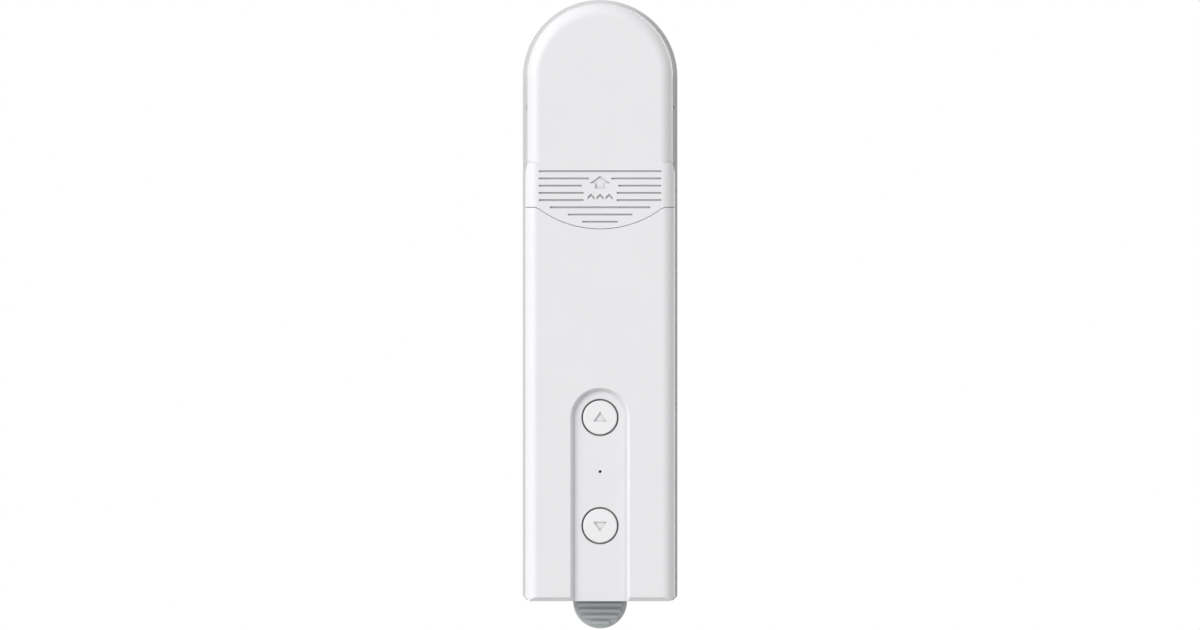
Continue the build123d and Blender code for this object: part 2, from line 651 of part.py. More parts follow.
# Rear shell: tray with the rail slot, screw posts, pivot ears and the tab's way out
SLOT_TOP = RAIL_HIGH + STOP_GAP
with BuildPart() as rear_shell:
    with BuildSketch(at(BACK)):
        add(arched_face(HALF, BOTTOM, CORNER_CUT))
    extrude(amount=PARTING - BACK)
    chamfer(rear_shell.faces().sort_by(Axis.Y)[-1].edges(), BACK_CHAMFER)
    with BuildSketch(at(BACK + SKIN)):
        add(arched_face(HALF - WALL, BOTTOM + WALL, CORNER_CUT))
    extrude(amount=PARTING - BACK, mode=Mode.SUBTRACT)
    with BuildSketch(at(BACK + SKIN)):
        with Locations((0, BOTTOM + WALL / 2)):
            Rectangle(RAIL_WIDTH + 2 * SLOT_WALL, SLOT_TOP + SLOT_WALL - BOTTOM - WALL / 2,
                      align=(Align.CENTER, Align.MIN))
    extrude(amount=CASE_BACK - BACK - SKIN)
    with BuildSketch(at(BACK + SKIN)):
        with Locations((0, SLOT_TOP)):
            Rectangle(RAIL_WIDTH + 2 * SLIDE_GAP, SLOT_TOP - BOTTOM + PAST, align=(Align.CENTER, Align.MAX))
    extrude(amount=SLOT_INNER - BACK - SKIN, mode=Mode.SUBTRACT)
    with BuildSketch(at(BACK)):
        with Locations((0, SLOT_TOP)):
            Rectangle(NECK_WIDTH + 2 * SLIDE_GAP, SLOT_TOP - BOTTOM + PAST, align=(Align.CENTER, Align.MAX))
    extrude(amount=SKIN, mode=Mode.SUBTRACT)
    with BuildSketch(at(SLOT_INNER)):
        with Locations((0, PIVOT_Z)):
            Rectangle(2 * (BARREL_HALF + BARREL_ROOM), 2 * (BARREL_R + 2 * BARREL_ROOM))
    extrude(amount=SLOT_WALL, mode=Mode.SUBTRACT)
    with BuildSketch(at(CASE_BACK)):
        with Locations((EAR_INNER + EAR_THICK / 2, PIVOT_Z), (-EAR_INNER - EAR_THICK / 2, PIVOT_Z)):
            Rectangle(EAR_THICK, 2 * (BARREL_R + EAR_BORDER))
    extrude(amount=PIVOT_DEPTH + BARREL_R - CASE_BACK)
    with Locations(Location((0, -PIVOT_DEPTH, PIVOT_Z), (0, 90, 0))):
        Cylinder(PIN_R + THREAD_GAP, 2 * (EAR_OUTER + PAST), mode=Mode.SUBTRACT)
    with BuildSketch(at(CASE_BACK)):
        with Locations((0, BOTTOM + WALL / 2)):
            Rectangle(2 * (TAB_HALF + TAB_ROOM), 2 * WALL)
    extrude(amount=TAB_FRONT + 2 * TAB_ROOM - CASE_BACK, mode=Mode.SUBTRACT)
    with BuildSketch(at(BACK + SKIN / 2)):
        with Locations(*SHELL_POSTS):
            Circle(POST_R)
    extrude(amount=POST_SPLIT - BACK - SKIN / 2)
    with Locations(*spots(facing_wall(BACK), SHELL_POSTS)):
        CounterBoreHole(SHELL_SCREW[2] + FIT_GAP, SHELL_SCREW[0] + FIT_GAP, POST_SPLIT - BACK - SHELL_SEAT)
finish(rear_shell, "rear_shell")

# Front shell: lower front with its channel, bulkhead, ledge under the cover, deck, chain guard and guides
PAD_HALF = CHANNEL_WIDTH / 2 + CHANNEL_FLOOR
CHANNEL_TOP_R = CHANNEL_WIDTH / 2
CHANNEL_LENGTH = UP_BUTTON_Z - BOTTOM + PAST
HOLE_R = BUTTON_R + BUTTON_GAP
GUARD_R = WHEEL_R + GUARD_GAP
GUIDE_INNER = GUARD_R + GUARD_THICK / 2
LOW_INNER_HALF = FRONT_HALF - WALL
LEDGE_HALF = COVER_HALF - EDGE_ROUND
with BuildPart() as hollow:
    with BuildSketch(at(PARTING)):
        with Locations((0, BOTTOM + WALL)):
            Rectangle(2 * LOW_INNER_HALF, BULKHEAD_Z - BOTTOM - WALL, align=(Align.CENTER, Align.MIN))
    extrude(amount=FRONT_INNER - PARTING)
    fillet(hollow.edges().filter_by(Axis.Z).group_by(Axis.Y)[0], EDGE_ROUND - WALL)

with BuildPart() as front_shell:
    add(front_form(FRONT_HALF, PARTING))
    with BuildSketch(at(DECK_FRONT)):
        add(above_seam(-SEAM_GAP))
    extrude(amount=FRONT - DECK_FRONT, mode=Mode.SUBTRACT)
    add(hollow.part, mode=Mode.SUBTRACT)
    with BuildSketch(at(DECK_FRONT)):
        with Locations((0, BULKHEAD_Z + WALL)):
            Rectangle(2 * LOW_INNER_HALF, SEAM_SIDE_Z - BULKHEAD_Z, align=(Align.CENTER, Align.MIN))
    extrude(amount=FRONT_INNER - DECK_FRONT, mode=Mode.SUBTRACT)
    with BuildSketch(at(LEDGE_FRONT - LEDGE_THICK)):
        with Locations((0, BULKHEAD_Z)):
            Rectangle(2 * LEDGE_HALF, SEAM_SIDE_Z + LEDGE_REACH + PAST - BULKHEAD_Z,
                      align=(Align.CENTER, Align.MIN))
        add(above_seam(LEDGE_REACH), mode=Mode.SUBTRACT)
    extrude(amount=LEDGE_THICK)
    with BuildSketch(at(LEDGE_FRONT)):
        with Locations((0, BULKHEAD_Z)):
            Rectangle(2 * LEDGE_HALF, SEAM_SIDE_Z + PAST - BULKHEAD_Z, align=(Align.CENTER, Align.MIN))
        add(above_seam(-SEAM_GAP), mode=Mode.SUBTRACT)
    extrude(amount=FRONT_INNER - LEDGE_FRONT + SKIN / 4)
    with BuildSketch(at(FLOOR_BACK)):
        with Locations((0, UP_BUTTON_Z)):
            Circle(PAD_HALF)
            Rectangle(2 * PAD_HALF, UP_BUTTON_Z - BOTTOM - WALL / 2, align=(Align.CENTER, Align.MAX))
    extrude(amount=FRONT_INNER - FLOOR_BACK + SKIN / 4)
    with BuildSketch(at(FLOOR_TOP)):
        with Locations((0, UP_BUTTON_Z)):
            Circle(CHANNEL_TOP_R - CHANNEL_SLOPE)
            Rectangle(CHANNEL_WIDTH - 2 * CHANNEL_SLOPE, CHANNEL_LENGTH, align=(Align.CENTER, Align.MAX))
    with BuildSketch(at(FRONT)):
        with Locations((0, UP_BUTTON_Z)):
            Circle(CHANNEL_TOP_R)
            Rectangle(CHANNEL_WIDTH, CHANNEL_LENGTH, align=(Align.CENTER, Align.MAX))
    loft(ruled=True, mode=Mode.SUBTRACT)
    with BuildSketch(at(PARTING - LIP_DEEP)):
        add(arched_face(HALF - WALL - FIT_GAP, BOTTOM + WALL + FIT_GAP, CORNER_CUT))
        add(arched_face(HALF - WALL - FIT_GAP - LIP_THICK, BOTTOM + WALL + FIT_GAP + LIP_THICK, CORNER_CUT),
            mode=Mode.SUBTRACT)
    extrude(amount=LIP_DEEP + SKIN / 2)
    with BuildSketch(at(POST_SPLIT)):
        with Locations(*SHELL_POSTS):
            Circle(POST_R)
    extrude(amount=FRONT_INNER + SKIN / 4 - POST_SPLIT)
    with Locations(*spots(facing_wall(POST_SPLIT), SHELL_POSTS)):
        Hole(SHELL_SCREW[2] + THREAD_GAP, depth=SHELL_SCREW_LENGTH - SHELL_SEAT + BITE_ROOM)
    with BuildSketch(at(BOARD_FRONT)):
        with Locations(*BOARD_POSTS):
            Circle(SMALL_POST_R)
    extrude(amount=FRONT_INNER + SKIN / 4 - BOARD_FRONT)
    with Locations(*spots(facing_wall(BOARD_FRONT), BOARD_POSTS)):
        Hole(SMALL_SCREW[2] + THREAD_GAP, depth=BOARD_BITE + BITE_ROOM)
    with BuildSketch(at(DECK_FRONT)):
        with Locations((0, ARCH_Z)):
            Circle(GUARD_R + GUARD_THICK)
            Circle(GUARD_R, mode=Mode.SUBTRACT)
            Rectangle(BODY_WIDTH, HALF, align=(Align.CENTER, Align.MIN), mode=Mode.SUBTRACT)
    extrude(amount=GUARD_HIGH)
    with BuildSketch(at(DECK_FRONT)):
        with Locations((0, (GUIDE_LOW_Z + GUIDE_HIGH_Z) / 2)):
            Rectangle(2 * GUIDE_OUTER, GUIDE_HIGH_Z - GUIDE_LOW_Z)
            Rectangle(2 * GUIDE_INNER, GUIDE_HIGH_Z - GUIDE_LOW_Z, mode=Mode.SUBTRACT)
    extrude(amount=GUIDE_BACK + GROOVE_WIDTH + GUIDE_FRONT)
    with BuildSketch(at(DECK_FRONT + GUIDE_BACK)):
        with Locations((0, (GUIDE_LOW_Z + GUIDE_HIGH_Z) / 2)):
            Rectangle(2 * (GUIDE_OUTER + PAST), GUIDE_HIGH_Z - GUIDE_LOW_Z + PAST)
            Rectangle(2 * (GUIDE_OUTER - GROOVE_DEEP), GUIDE_HIGH_Z - GUIDE_LOW_Z + 2 * PAST,
                      mode=Mode.SUBTRACT)
    extrude(amount=GROOVE_WIDTH, mode=Mode.SUBTRACT)
    with Locations(*spots(at(FLOOR_TOP), [(0, UP_BUTTON_Z), (0, DOWN_BUTTON_Z)])):
        Cylinder(HOLE_R, 2 * (CHANNEL_FLOOR + PAST), mode=Mode.SUBTRACT)
    with Locations(*spots(at(FLOOR_TOP), [(0, LIGHT_Z)])):
        Cylinder(LIGHT_HOLE_R, 2 * (CHANNEL_FLOOR + PAST), mode=Mode.SUBTRACT)
    hole_rims = front_shell.edges().filter_by(GeomType.CIRCLE).filter_by(
        lambda e: abs(e.radius - HOLE_R) < 0.01 and abs(e.arc_center.Y + FLOOR_TOP) < 0.01)
    fillet(hole_rims, BUTTON_EDGE)
    with Locations(*spots(at(DECK_FRONT), [(0, ARCH_Z)])):
        Cylinder(SHAFT_R + BUSH_WALL + BUSH_FLANGE, 3 * SKIN, mode=Mode.SUBTRACT)
    with Locations(*spots(at(DECK_FRONT), DECK_POSTS)):
        CounterBoreHole(SMALL_SCREW[2] + FIT_GAP, SMALL_SCREW[0] + FIT_GAP, DECK_SEAT, SKIN + PAST)
    with BuildSketch(Plane.XY.offset(BOTTOM - PAST)):
        with Locations((0, -BOARD_FRONT - PORT_HIGH / 2)):
            SlotOverall(PORT_WIDTH + 2 * FIT_GAP, PORT_HIGH + 2 * FIT_GAP)
    extrude(amount=WALL + 2 * PAST, mode=Mode.SUBTRACT)
finish(front_shell, "front_shell")

# Sliding cover: slim dome with a notched skirt on each side, flared to the front shell's width
# above the seam
with BuildPart() as flare:
    add(front_form(FRONT_HALF, COVER_BACK))
    with BuildSketch(at(COVER_BACK)):
        with BuildLine():
            Polyline((-FRONT_HALF, 0), (FRONT_HALF, 0), (FRONT_HALF, FLARE_LOW_Z), (COVER_HALF, FLARE_HIGH_Z),
                     (-COVER_HALF, FLARE_HIGH_Z), (-FRONT_HALF, FLARE_LOW_Z), close=True)
        make_face()
    extrude(amount=FRONT - COVER_BACK, mode=Mode.INTERSECT)

with BuildPart() as cover_room:
    with BuildSketch(at(COVER_BACK)):
        add(arched_face(COVER_HALF - COVER_WALL, 0))
    extrude(amount=COVER_INNER - COVER_BACK)
    fillet(cover_room.faces().sort_by(Axis.Y)[0].edges().sort_by(Axis.Z)[1:], EDGE_ROUND - COVER_WALL)

RUNNER_INNER = GUIDE_OUTER - GROOVE_DEEP + FIT_GAP
RUNNER_OUTER = COVER_HALF - COVER_WALL / 2
HEAD_Z = ARROW_TOP_Z - ARROW_HEAD_HIGH
STEM_Z = HEAD_Z - ARROW_STEM_HIGH
GRIP_ZS = [GRIP_TOP_Z - row * GRIP_PITCH for row in range(len(GRIP_ROWS))]
with BuildPart() as sliding_cover:
    add(front_form(COVER_HALF, COVER_BACK))
    add(flare.part)
    with BuildSketch(at(COVER_BACK)):
        add(above_seam(0))
    extrude(amount=FRONT - COVER_BACK, mode=Mode.INTERSECT)
    add(cover_room.part, mode=Mode.SUBTRACT)
    for side in (0, 180 - CHAIN_SLOT_ANGLE):
        with BuildSketch(at(COVER_BACK)):
            with BuildLine():
                reach = COVER_HALF + PAST
                start = CenterArc((0, ARCH_Z), reach, side, CHAIN_SLOT_ANGLE)
                Line((0, ARCH_Z), start @ 0)
                Line(start @ 1, (0, ARCH_Z))
            make_face()
        extrude(amount=CHAIN_SLOT_DEEP, mode=Mode.SUBTRACT)
    with BuildSketch(at(COVER_BACK)):
        with Locations(*[(side * COVER_HALF, (ARCH_Z + FLARE_HIGH_Z) / 2) for side in (-1, 1)]):
            Rectangle(2 * SKIRT_PROUD, ARCH_Z - FLARE_HIGH_Z)
        with Locations(*[(side * (COVER_HALF + SKIRT_PROUD / 2), NOTCH_Z) for side in (-1, 1)]):
            Rectangle(SKIRT_PROUD, NOTCH_HIGH, mode=Mode.SUBTRACT)
    extrude(amount=SKIRT_HIGH)
    with BuildSketch(at(DECK_FRONT + GUIDE_BACK + FIT_GAP)):
        for side in (-1, 1):
            with Locations((side * (RUNNER_INNER + RUNNER_OUTER) / 2, (GUIDE_LOW_Z + GUIDE_HIGH_Z) / 2)):
                Rectangle(RUNNER_OUTER - RUNNER_INNER, GUIDE_HIGH_Z - GUIDE_LOW_Z - 2 * RUNNER_INSET)
    extrude(amount=GROOVE_WIDTH - 2 * FIT_GAP)
    with BuildSketch(at(FRONT - GRIP_DEEP)):
        for z, (gap, inset) in zip(GRIP_ZS, GRIP_ROWS):
            half = COVER_HALF - inset
            if gap:
                for side in (-1, 1):
                    with Locations((side * (gap + half) / 2, z)):
                        SlotOverall(half - gap, GRIP_WIDTH)
            else:
                with Locations((0, z)):
                    SlotOverall(2 * half, GRIP_WIDTH)
    extrude(amount=PAST, mode=Mode.SUBTRACT)
    with BuildSketch(at(FRONT - MARK_DEEP)):
        with BuildLine():
            Polyline((0, ARROW_TOP_Z), (ARROW_HEAD_HALF, HEAD_Z), (ARROW_STEM_HALF, HEAD_Z),
                     (ARROW_STEM_HALF, STEM_Z), (-ARROW_STEM_HALF, STEM_Z), (-ARROW_STEM_HALF, HEAD_Z),
                     (-ARROW_HEAD_HALF, HEAD_Z), close=True)
        make_face()
    extrude(amount=PAST, mode=Mode.SUBTRACT)
    with BuildSketch(at(FRONT - MARK_DEEP)):
        for place in range(CHEVRON_COUNT):
            with Locations(((place - (CHEVRON_COUNT - 1) / 2) * CHEVRON_PITCH, CHEVRON_Z)):
                Polygon((0, CHEVRON_HALF / 2), (CHEVRON_HALF, -CHEVRON_HALF / 2),
                        (CHEVRON_HALF, -CHEVRON_HALF / 2 - CHEVRON_BAR), (0, CHEVRON_HALF / 2 - CHEVRON_BAR),
                        (-CHEVRON_HALF, -CHEVRON_HALF / 2 - CHEVRON_BAR), (-CHEVRON_HALF, -CHEVRON_HALF / 2),
                        align=None)
    extrude(amount=PAST, mode=Mode.SUBTRACT)
finish(sliding_cover, "sliding_cover")

# Release tab: barrel and cam on the pivot pin, arm, and the ribbed grey tab below the body
CAM_REACH = PIVOT_OFFSET - CAM_GAP
CAM_CENTRE = (CAM_REACH - CAM_TIP_R) / cos(radians(CAM_ANGLE))
TAB_ROUND_Z = TAB_LOW_Z + TAB_HALF
ARM_TOP_Z = PIVOT_Z - BARREL_R - TAB_NECK
RIB_ZS = [BOTTOM - RIB_TOP_GAP - row * RIB_PITCH for row in range(len(RIB_HALVES))]
with BuildPart() as release_tab:
    with BuildSketch(Plane.YZ):
        with Locations((-PIVOT_DEPTH, PIVOT_Z)):
            Circle(BARREL_R)
            with Locations((CAM_CENTRE * cos(radians(CAM_ANGLE)), CAM_CENTRE * sin(radians(CAM_ANGLE)))):
                Circle(CAM_TIP_R)
        make_hull()
    extrude(amount=BARREL_HALF, both=True)
    with BuildSketch(at(TAB_BACK)):
        with Locations((0, PIVOT_Z)):
            Rectangle(2 * BARREL_HALF, PIVOT_Z - TAB_ROUND_Z, align=(Align.CENTER, Align.MAX))
        with Locations((0, TAB_ROUND_Z)):
            Circle(TAB_HALF)
            Rectangle(2 * TAB_HALF, ARM_TOP_Z - TAB_ROUND_Z, align=(Align.CENTER, Align.MIN))
    extrude(amount=TAB_THICK)
    round_edge = release_tab.edges().filter_by(GeomType.CIRCLE).filter_by(
        lambda e: abs(e.radius - TAB_HALF) < 0.01)
    chamfer(round_edge, TAB_EDGE)
    with BuildSketch(at(TAB_FRONT - TAB_THICK / 4)):
        for z, half in zip(RIB_ZS, RIB_HALVES):
            with Locations((0, z)):
                SlotOverall(2 * half, RIB_WIDTH)
    extrude(amount=RIB_HIGH + TAB_THICK / 4)
    fillet(release_tab.faces().group_by(Axis.Y)[0].edges(), RIB_ROUND)
    with Locations(Location((0, -PIVOT_DEPTH, PIVOT_Z), (0, 90, 0))):
        Cylinder(PIN_R + RUN_GAP, 4 * BARREL_HALF, mode=Mode.SUBTRACT)
finish(release_tab, "release_tab")

with BuildPart() as release_pin:
    with Locations(Location((0, -PIVOT_DEPTH, PIVOT_Z), (0, 90, 0))):
        Cylinder(PIN_R, 2 * EAR_OUTER)
    chamfer(release_pin.edges().filter_by(GeomType.CIRCLE), PIN_CHAMFER)
finish(release_pin, "release_pin")

# Return spring round the pin: one leg on the slot's wall, one behind the tab
COIL_R = PIN_R + SPRING_WIRE_R + SPRING_PLAY
COIL_PITCH = 2 * SPRING_WIRE_R + SPRING_TURN_GAP
COIL_FAR_X = EAR_INNER - SPRING_WIRE_R - END_PLAY
COIL_PLANE = Plane(origin=(COIL_FAR_X, -PIVOT_DEPTH, PIVOT_Z), x_dir=(0, 0, -1), z_dir=(-1, 0, 0))
TAB_LEG_BACK = PIVOT_DEPTH - TAB_BACK + SPRING_WIRE_R + SPRING_TOUCH
TAB_LEG_TILT = atan(COIL_R / SPRING_LEG) - asin(TAB_LEG_BACK / sqrt(SPRING_LEG**2 + COIL_R**2))
SPRING_TURNS = SPRING_WHOLE_TURNS + (270 + degrees(TAB_LEG_TILT)) / 360
SHELL_LEG = PIVOT_DEPTH - CASE_BACK - THREAD_GAP
turns = COIL_PLANE * Helix(COIL_PITCH, SPRING_TURNS * COIL_PITCH, COIL_R)
shell_leg = Line(turns @ 0 - (turns % 0) * SHELL_LEG, turns @ 0)
tab_leg = Line(turns @ 1, turns @ 1 + (turns % 1) * SPRING_LEG)
spring_path = Wire([shell_leg.edge(), turns.edge(), tab_leg.edge()])
with BuildPart() as release_spring:
    with BuildSketch(Plane(origin=spring_path @ 0, z_dir=spring_path % 0)):
        Circle(SPRING_WIRE_R)
    sweep(path=spring_path)
finish(release_spring, "release_spring")

# Gearbox: case with its base, front plate, pins, bushes and screws
BUSH_R = SHAFT_R + RUN_GAP + BUSH_WALL
TOP_EAR_R = CASE_TOP_R + EAR_OFFSET
LOW_EAR_R = CASE_LOW_R + EAR_OFFSET
TOP_EAR_X = TOP_EAR_R * cos(radians(TOP_EAR_ANGLE))
TOP_EAR_Z = ARCH_Z + TOP_EAR_R * sin(radians(TOP_EAR_ANGLE))
LOW_EAR_X = LOW_EAR_R * cos(radians(LOW_EAR_ANGLE))
LOW_EAR_Z = CASE_LOW_Z - LOW_EAR_R * sin(radians(LOW_EAR_ANGLE))
CASE_EARS = [(-TOP_EAR_X, TOP_EAR_Z), (TOP_EAR_X, TOP_EAR_Z), (-LOW_EAR_X, LOW_EAR_Z), (LOW_EAR_X, LOW_EAR_Z)]
MOTOR_SCREWS = [(side * MOTOR_SCREW_CIRCLE / 2, MOTOR_Z) for side in (-1, 1)]
with BuildPart() as gear_case:
    with BuildSketch(at(CASE_BACK)):
        add(case_face(0))
        with Locations(*CASE_EARS):
            Circle(EAR_R)
    extrude(amount=CASE_RIM - CASE_BACK)
    with BuildSketch(at(CASE_INNER)):
        add(case_face(CASE_WALL))
    extrude(amount=CASE_RIM - CASE_INNER, mode=Mode.SUBTRACT)
    with Locations(*spots(at(CASE_BACK), [(0, ARCH_Z)])):
        Cylinder(BUSH_R, 4 * CASE_BASE, mode=Mode.SUBTRACT)
    for z, radius in zip(GEAR_Z, AXLE_R):
        with Locations(*spots(at(CASE_BACK), [(0, z)])):
            Cylinder(radius + THREAD_GAP, 4 * CASE_BASE, mode=Mode.SUBTRACT)
    with Locations(*spots(at(CASE_RIM), CASE_EARS)):
        Hole(SMALL_SCREW[2] + THREAD_GAP, depth=GEARBOX_BITE + BITE_ROOM)
finish(gear_case, "gear_case")

with BuildPart() as gear_cover:
    with BuildSketch(at(CASE_RIM)):
        add(case_face(0))
        with Locations(*CASE_EARS):
            Circle(EAR_R)
    extrude(amount=CASE_BASE)
    with BuildSketch(at(CASE_FRONT)):
        with Locations(*DECK_POSTS):
            Circle(SMALL_POST_R)
    extrude(amount=PARTING - CASE_FRONT)
    with Locations(*spots(at(CASE_FRONT), [(0, ARCH_Z)])):
        Cylinder(BUSH_R, 4 * CASE_BASE, mode=Mode.SUBTRACT)
    for z, radius in zip(GEAR_Z, AXLE_R):
        with Locations(*spots(at(CASE_FRONT), [(0, z)])):
            Cylinder(radius + THREAD_GAP, 4 * CASE_BASE, mode=Mode.SUBTRACT)
    with Locations(*spots(at(CASE_FRONT), [(0, MOTOR_Z)])):
        Cylinder(MOTOR_SPIGOT_R + FIT_GAP, 4 * CASE_BASE, mode=Mode.SUBTRACT)
    with Locations(*spots(at(CASE_FRONT), CASE_EARS + MOTOR_SCREWS)):
        Hole(SMALL_SCREW[2] + FIT_GAP)
    with Locations(*spots(at(PARTING), DECK_POSTS)):
        Hole(SMALL_SCREW[2] + THREAD_GAP, depth=PARTING - CASE_FRONT)
finish(gear_cover, "gear_cover")

with BuildPart() as gear_pins:
    for z, radius in zip(GEAR_Z, AXLE_R):
        with Locations(*spots(at(CASE_BACK), [(0, z)])):
            Cylinder(radius, CASE_FRONT - CASE_BACK, align=(Align.CENTER, Align.CENTER, Align.MIN))
finish(gear_pins, "gear_pins")

with BuildPart() as rear_bush:
    with BuildSketch(at(CASE_BACK)):
        with Locations((0, ARCH_Z)):
            Circle(BUSH_R - THREAD_GAP)
            Circle(SHAFT_R + RUN_GAP, mode=Mode.SUBTRACT)
    extrude(amount=CASE_BASE)
finish(rear_bush, "rear_bush")

with BuildPart() as front_bush:
    with BuildSketch(at(CASE_RIM)):
        with Locations((0, ARCH_Z)):
            Circle(BUSH_R - THREAD_GAP)
            Circle(SHAFT_R + RUN_GAP, mode=Mode.SUBTRACT)
    extrude(amount=CASE_BASE)
    with BuildSketch(at(CASE_FRONT)):
        with Locations((0, ARCH_Z)):
            Circle(BUSH_R + BUSH_FLANGE)
            Circle(SHAFT_R + RUN_GAP, mode=Mode.SUBTRACT)
    extrude(amount=BUSH_FLANGE_THICK)
finish(front_bush, "front_bush")

# Output: gear, shaft, chain wheel, washer and screw
HUB_BACK = CASE_INNER + END_PLAY
HUB_FRONT = CASE_RIM - END_PLAY
with BuildPart() as output_gear:
    with BuildSketch(at(LAYER_1)):
        with Locations((0, ARCH_Z)):
            add(gap_down(3))
    extrude(amount=LAYER_3 - GEAR_GAP - LAYER_1)
    with BuildSketch(at(HUB_BACK)):
        with Locations((0, ARCH_Z)):
            Circle(SHAFT_R + OUTPUT_HUB_WALL)
    extrude(amount=HUB_FRONT - HUB_BACK)
    with BuildSketch(at(HUB_BACK)):
        with Locations((0, ARCH_Z)):
            add(shaft_face(SHAFT_R + THREAD_GAP, FLAT_DEEP))
            with PolarLocations(GEAR_HOLE_CIRCLE, GEAR_HOLES):
                Circle(GEAR_HOLE_R)
    extrude(amount=HUB_FRONT - HUB_BACK, mode=Mode.SUBTRACT)
finish(output_gear, "output_gear")

SHAFT_BACK = CASE_BACK + END_PLAY
SHAFT_FRONT = WHEEL_FRONT - WHEEL_SINK - SHAFT_EDGE
with BuildPart() as output_shaft:
    with BuildSketch(at(SHAFT_BACK)):
        with Locations((0, ARCH_Z)):
            Circle(SHAFT_R)
    extrude(amount=SHAFT_FRONT - SHAFT_BACK)
    for low, high in ((HUB_BACK, HUB_FRONT), (DECK_FRONT, SHAFT_FRONT)):
        with BuildSketch(at(low)):
            with Locations((0, ARCH_Z + SHAFT_R - FLAT_DEEP)):
                Rectangle(2 * SHAFT_R, 2 * FLAT_DEEP, align=(Align.CENTER, Align.MIN))
        extrude(amount=high - low, mode=Mode.SUBTRACT)
    chamfer(output_shaft.faces().sort_by(Axis.Y)[0].edges().filter_by(GeomType.CIRCLE), SHAFT_EDGE)
    with Locations(*spots(at(SHAFT_FRONT), [(0, ARCH_Z)])):
        Hole(WHEEL_SCREW[2] + THREAD_GAP, depth=WHEEL_BITE + BITE_ROOM)
finish(output_shaft, "output_shaft")

POCKET_R = BEAD_R + BEAD_PLAY
WHEEL_MIDDLE = (WHEEL_BACK + WHEEL_FRONT) / 2
CORE_R = CHAIN_R + WHEEL_CORE_RISE
with BuildPart() as chain_wheel:
    with BuildSketch(at(WHEEL_BACK)):
        with Locations((0, ARCH_Z)):
            Circle(WHEEL_R)
    extrude(amount=WHEEL_FLANGE)
    with BuildSketch(at(WHEEL_BACK)):
        with Locations((0, ARCH_Z)):
            Circle(CORE_R)
    extrude(amount=WHEEL_THICK)
    with BuildSketch(at(WHEEL_FRONT - WHEEL_FLANGE)):
        with Locations((0, ARCH_Z)):
            Circle(WHEEL_R)
    extrude(amount=WHEEL_FLANGE)
    outer_rims = chain_wheel.edges().filter_by(GeomType.CIRCLE).filter_by(
        lambda e: abs(e.radius - WHEEL_R) < 0.01)
    chamfer(outer_rims, WHEEL_EDGE)
    with BuildSketch(at(WHEEL_MIDDLE - STRING_WIDTH / 2)):
        with Locations((0, ARCH_Z)):
            Circle(WHEEL_R + PAST)
            Circle(CHAIN_R - STRING_WIDTH / 2, mode=Mode.SUBTRACT)
    extrude(amount=STRING_WIDTH, mode=Mode.SUBTRACT)
    with Locations(at(WHEEL_MIDDLE)):
        with Locations((0, ARCH_Z)):
            with PolarLocations(CHAIN_R, BEAD_COUNT):
                Sphere(POCKET_R, mode=Mode.SUBTRACT)
                Cylinder(POCKET_R, WHEEL_R, rotation=(0, 90, 0),
                         align=(Align.CENTER, Align.CENTER, Align.MIN), mode=Mode.SUBTRACT)
    with BuildSketch(at(WHEEL_FRONT - WHEEL_DISH)):
        with Locations((0, ARCH_Z)):
            Circle(CHAIN_R - POCKET_R - WHEEL_WEB)
            Circle(WHEEL_HUB_R, mode=Mode.SUBTRACT)
    extrude(amount=WHEEL_DISH, mode=Mode.SUBTRACT)
    with BuildSketch(at(WHEEL_BACK)):
        with Locations((0, ARCH_Z)):
            add(shaft_face(SHAFT_R + THREAD_GAP, FLAT_DEEP))
    extrude(amount=WHEEL_THICK, mode=Mode.SUBTRACT)
    with BuildSketch(at(WHEEL_FRONT - WHEEL_SINK)):
        with Locations((0, ARCH_Z)):
            Circle(WASHER_R + FIT_GAP)
    extrude(amount=WHEEL_SINK, mode=Mode.SUBTRACT)
finish(chain_wheel, "chain_wheel")

with BuildPart() as wheel_washer:
    with BuildSketch(at(WHEEL_FRONT - WHEEL_SINK)):
        with Locations((0, ARCH_Z)):
            Circle(WASHER_R)
            Circle(WHEEL_SCREW[2] + FIT_GAP, mode=Mode.SUBTRACT)
    extrude(amount=WASHER_THICK)
finish(wheel_washer, "wheel_washer")

with BuildPart() as wheel_screw:
    with Locations(*spots(at(WHEEL_FRONT - WHEEL_SINK + WASHER_THICK), [(0, ARCH_Z)])):
        add(screw(WHEEL_SCREW, WHEEL_BITE))
finish(wheel_screw, "wheel_screw")

# Compound gears: each is a hub on its pin with a large gear driven from below and a small one above it
LARGE_LAYERS = [(LAYER_1, LAYER_WIDTHS[0]), (LAYER_2, LAYER_WIDTHS[1]), (LAYER_3, LAYER_WIDTHS[2])]
SMALL_LAYERS = [(LAYER_2, LAYER_WIDTHS[1]), (LAYER_3, LAYER_WIDTHS[2]),
                (LAYER_1, LAYER_3 - GEAR_GAP - LAYER_1)]
for stage in range(3):
    with BuildPart() as compound_gear:
        low, width = LARGE_LAYERS[stage]
        with BuildSketch(at(low)):
            with Locations((0, GEAR_Z[stage])):
                add(gap_down(stage))
        extrude(amount=width)
        low, width = SMALL_LAYERS[stage]
        with BuildSketch(at(low)):
            with Locations((0, GEAR_Z[stage])):
                add(tooth_up(stage + 1))
        extrude(amount=width)
        with BuildSketch(at(HUB_BACK)):
            with Locations((0, GEAR_Z[stage])):
                Circle(AXLE_R[stage] + HUB_WALL)
        extrude(amount=HUB_FRONT - HUB_BACK)
        with BuildSketch(at(HUB_BACK)):
            with Locations((0, GEAR_Z[stage])):
                Circle(AXLE_R[stage] + RUN_GAP)
        extrude(amount=HUB_FRONT - HUB_BACK, mode=Mode.SUBTRACT)
    finish(compound_gear, "compound_gear_" + str(stage + 1))

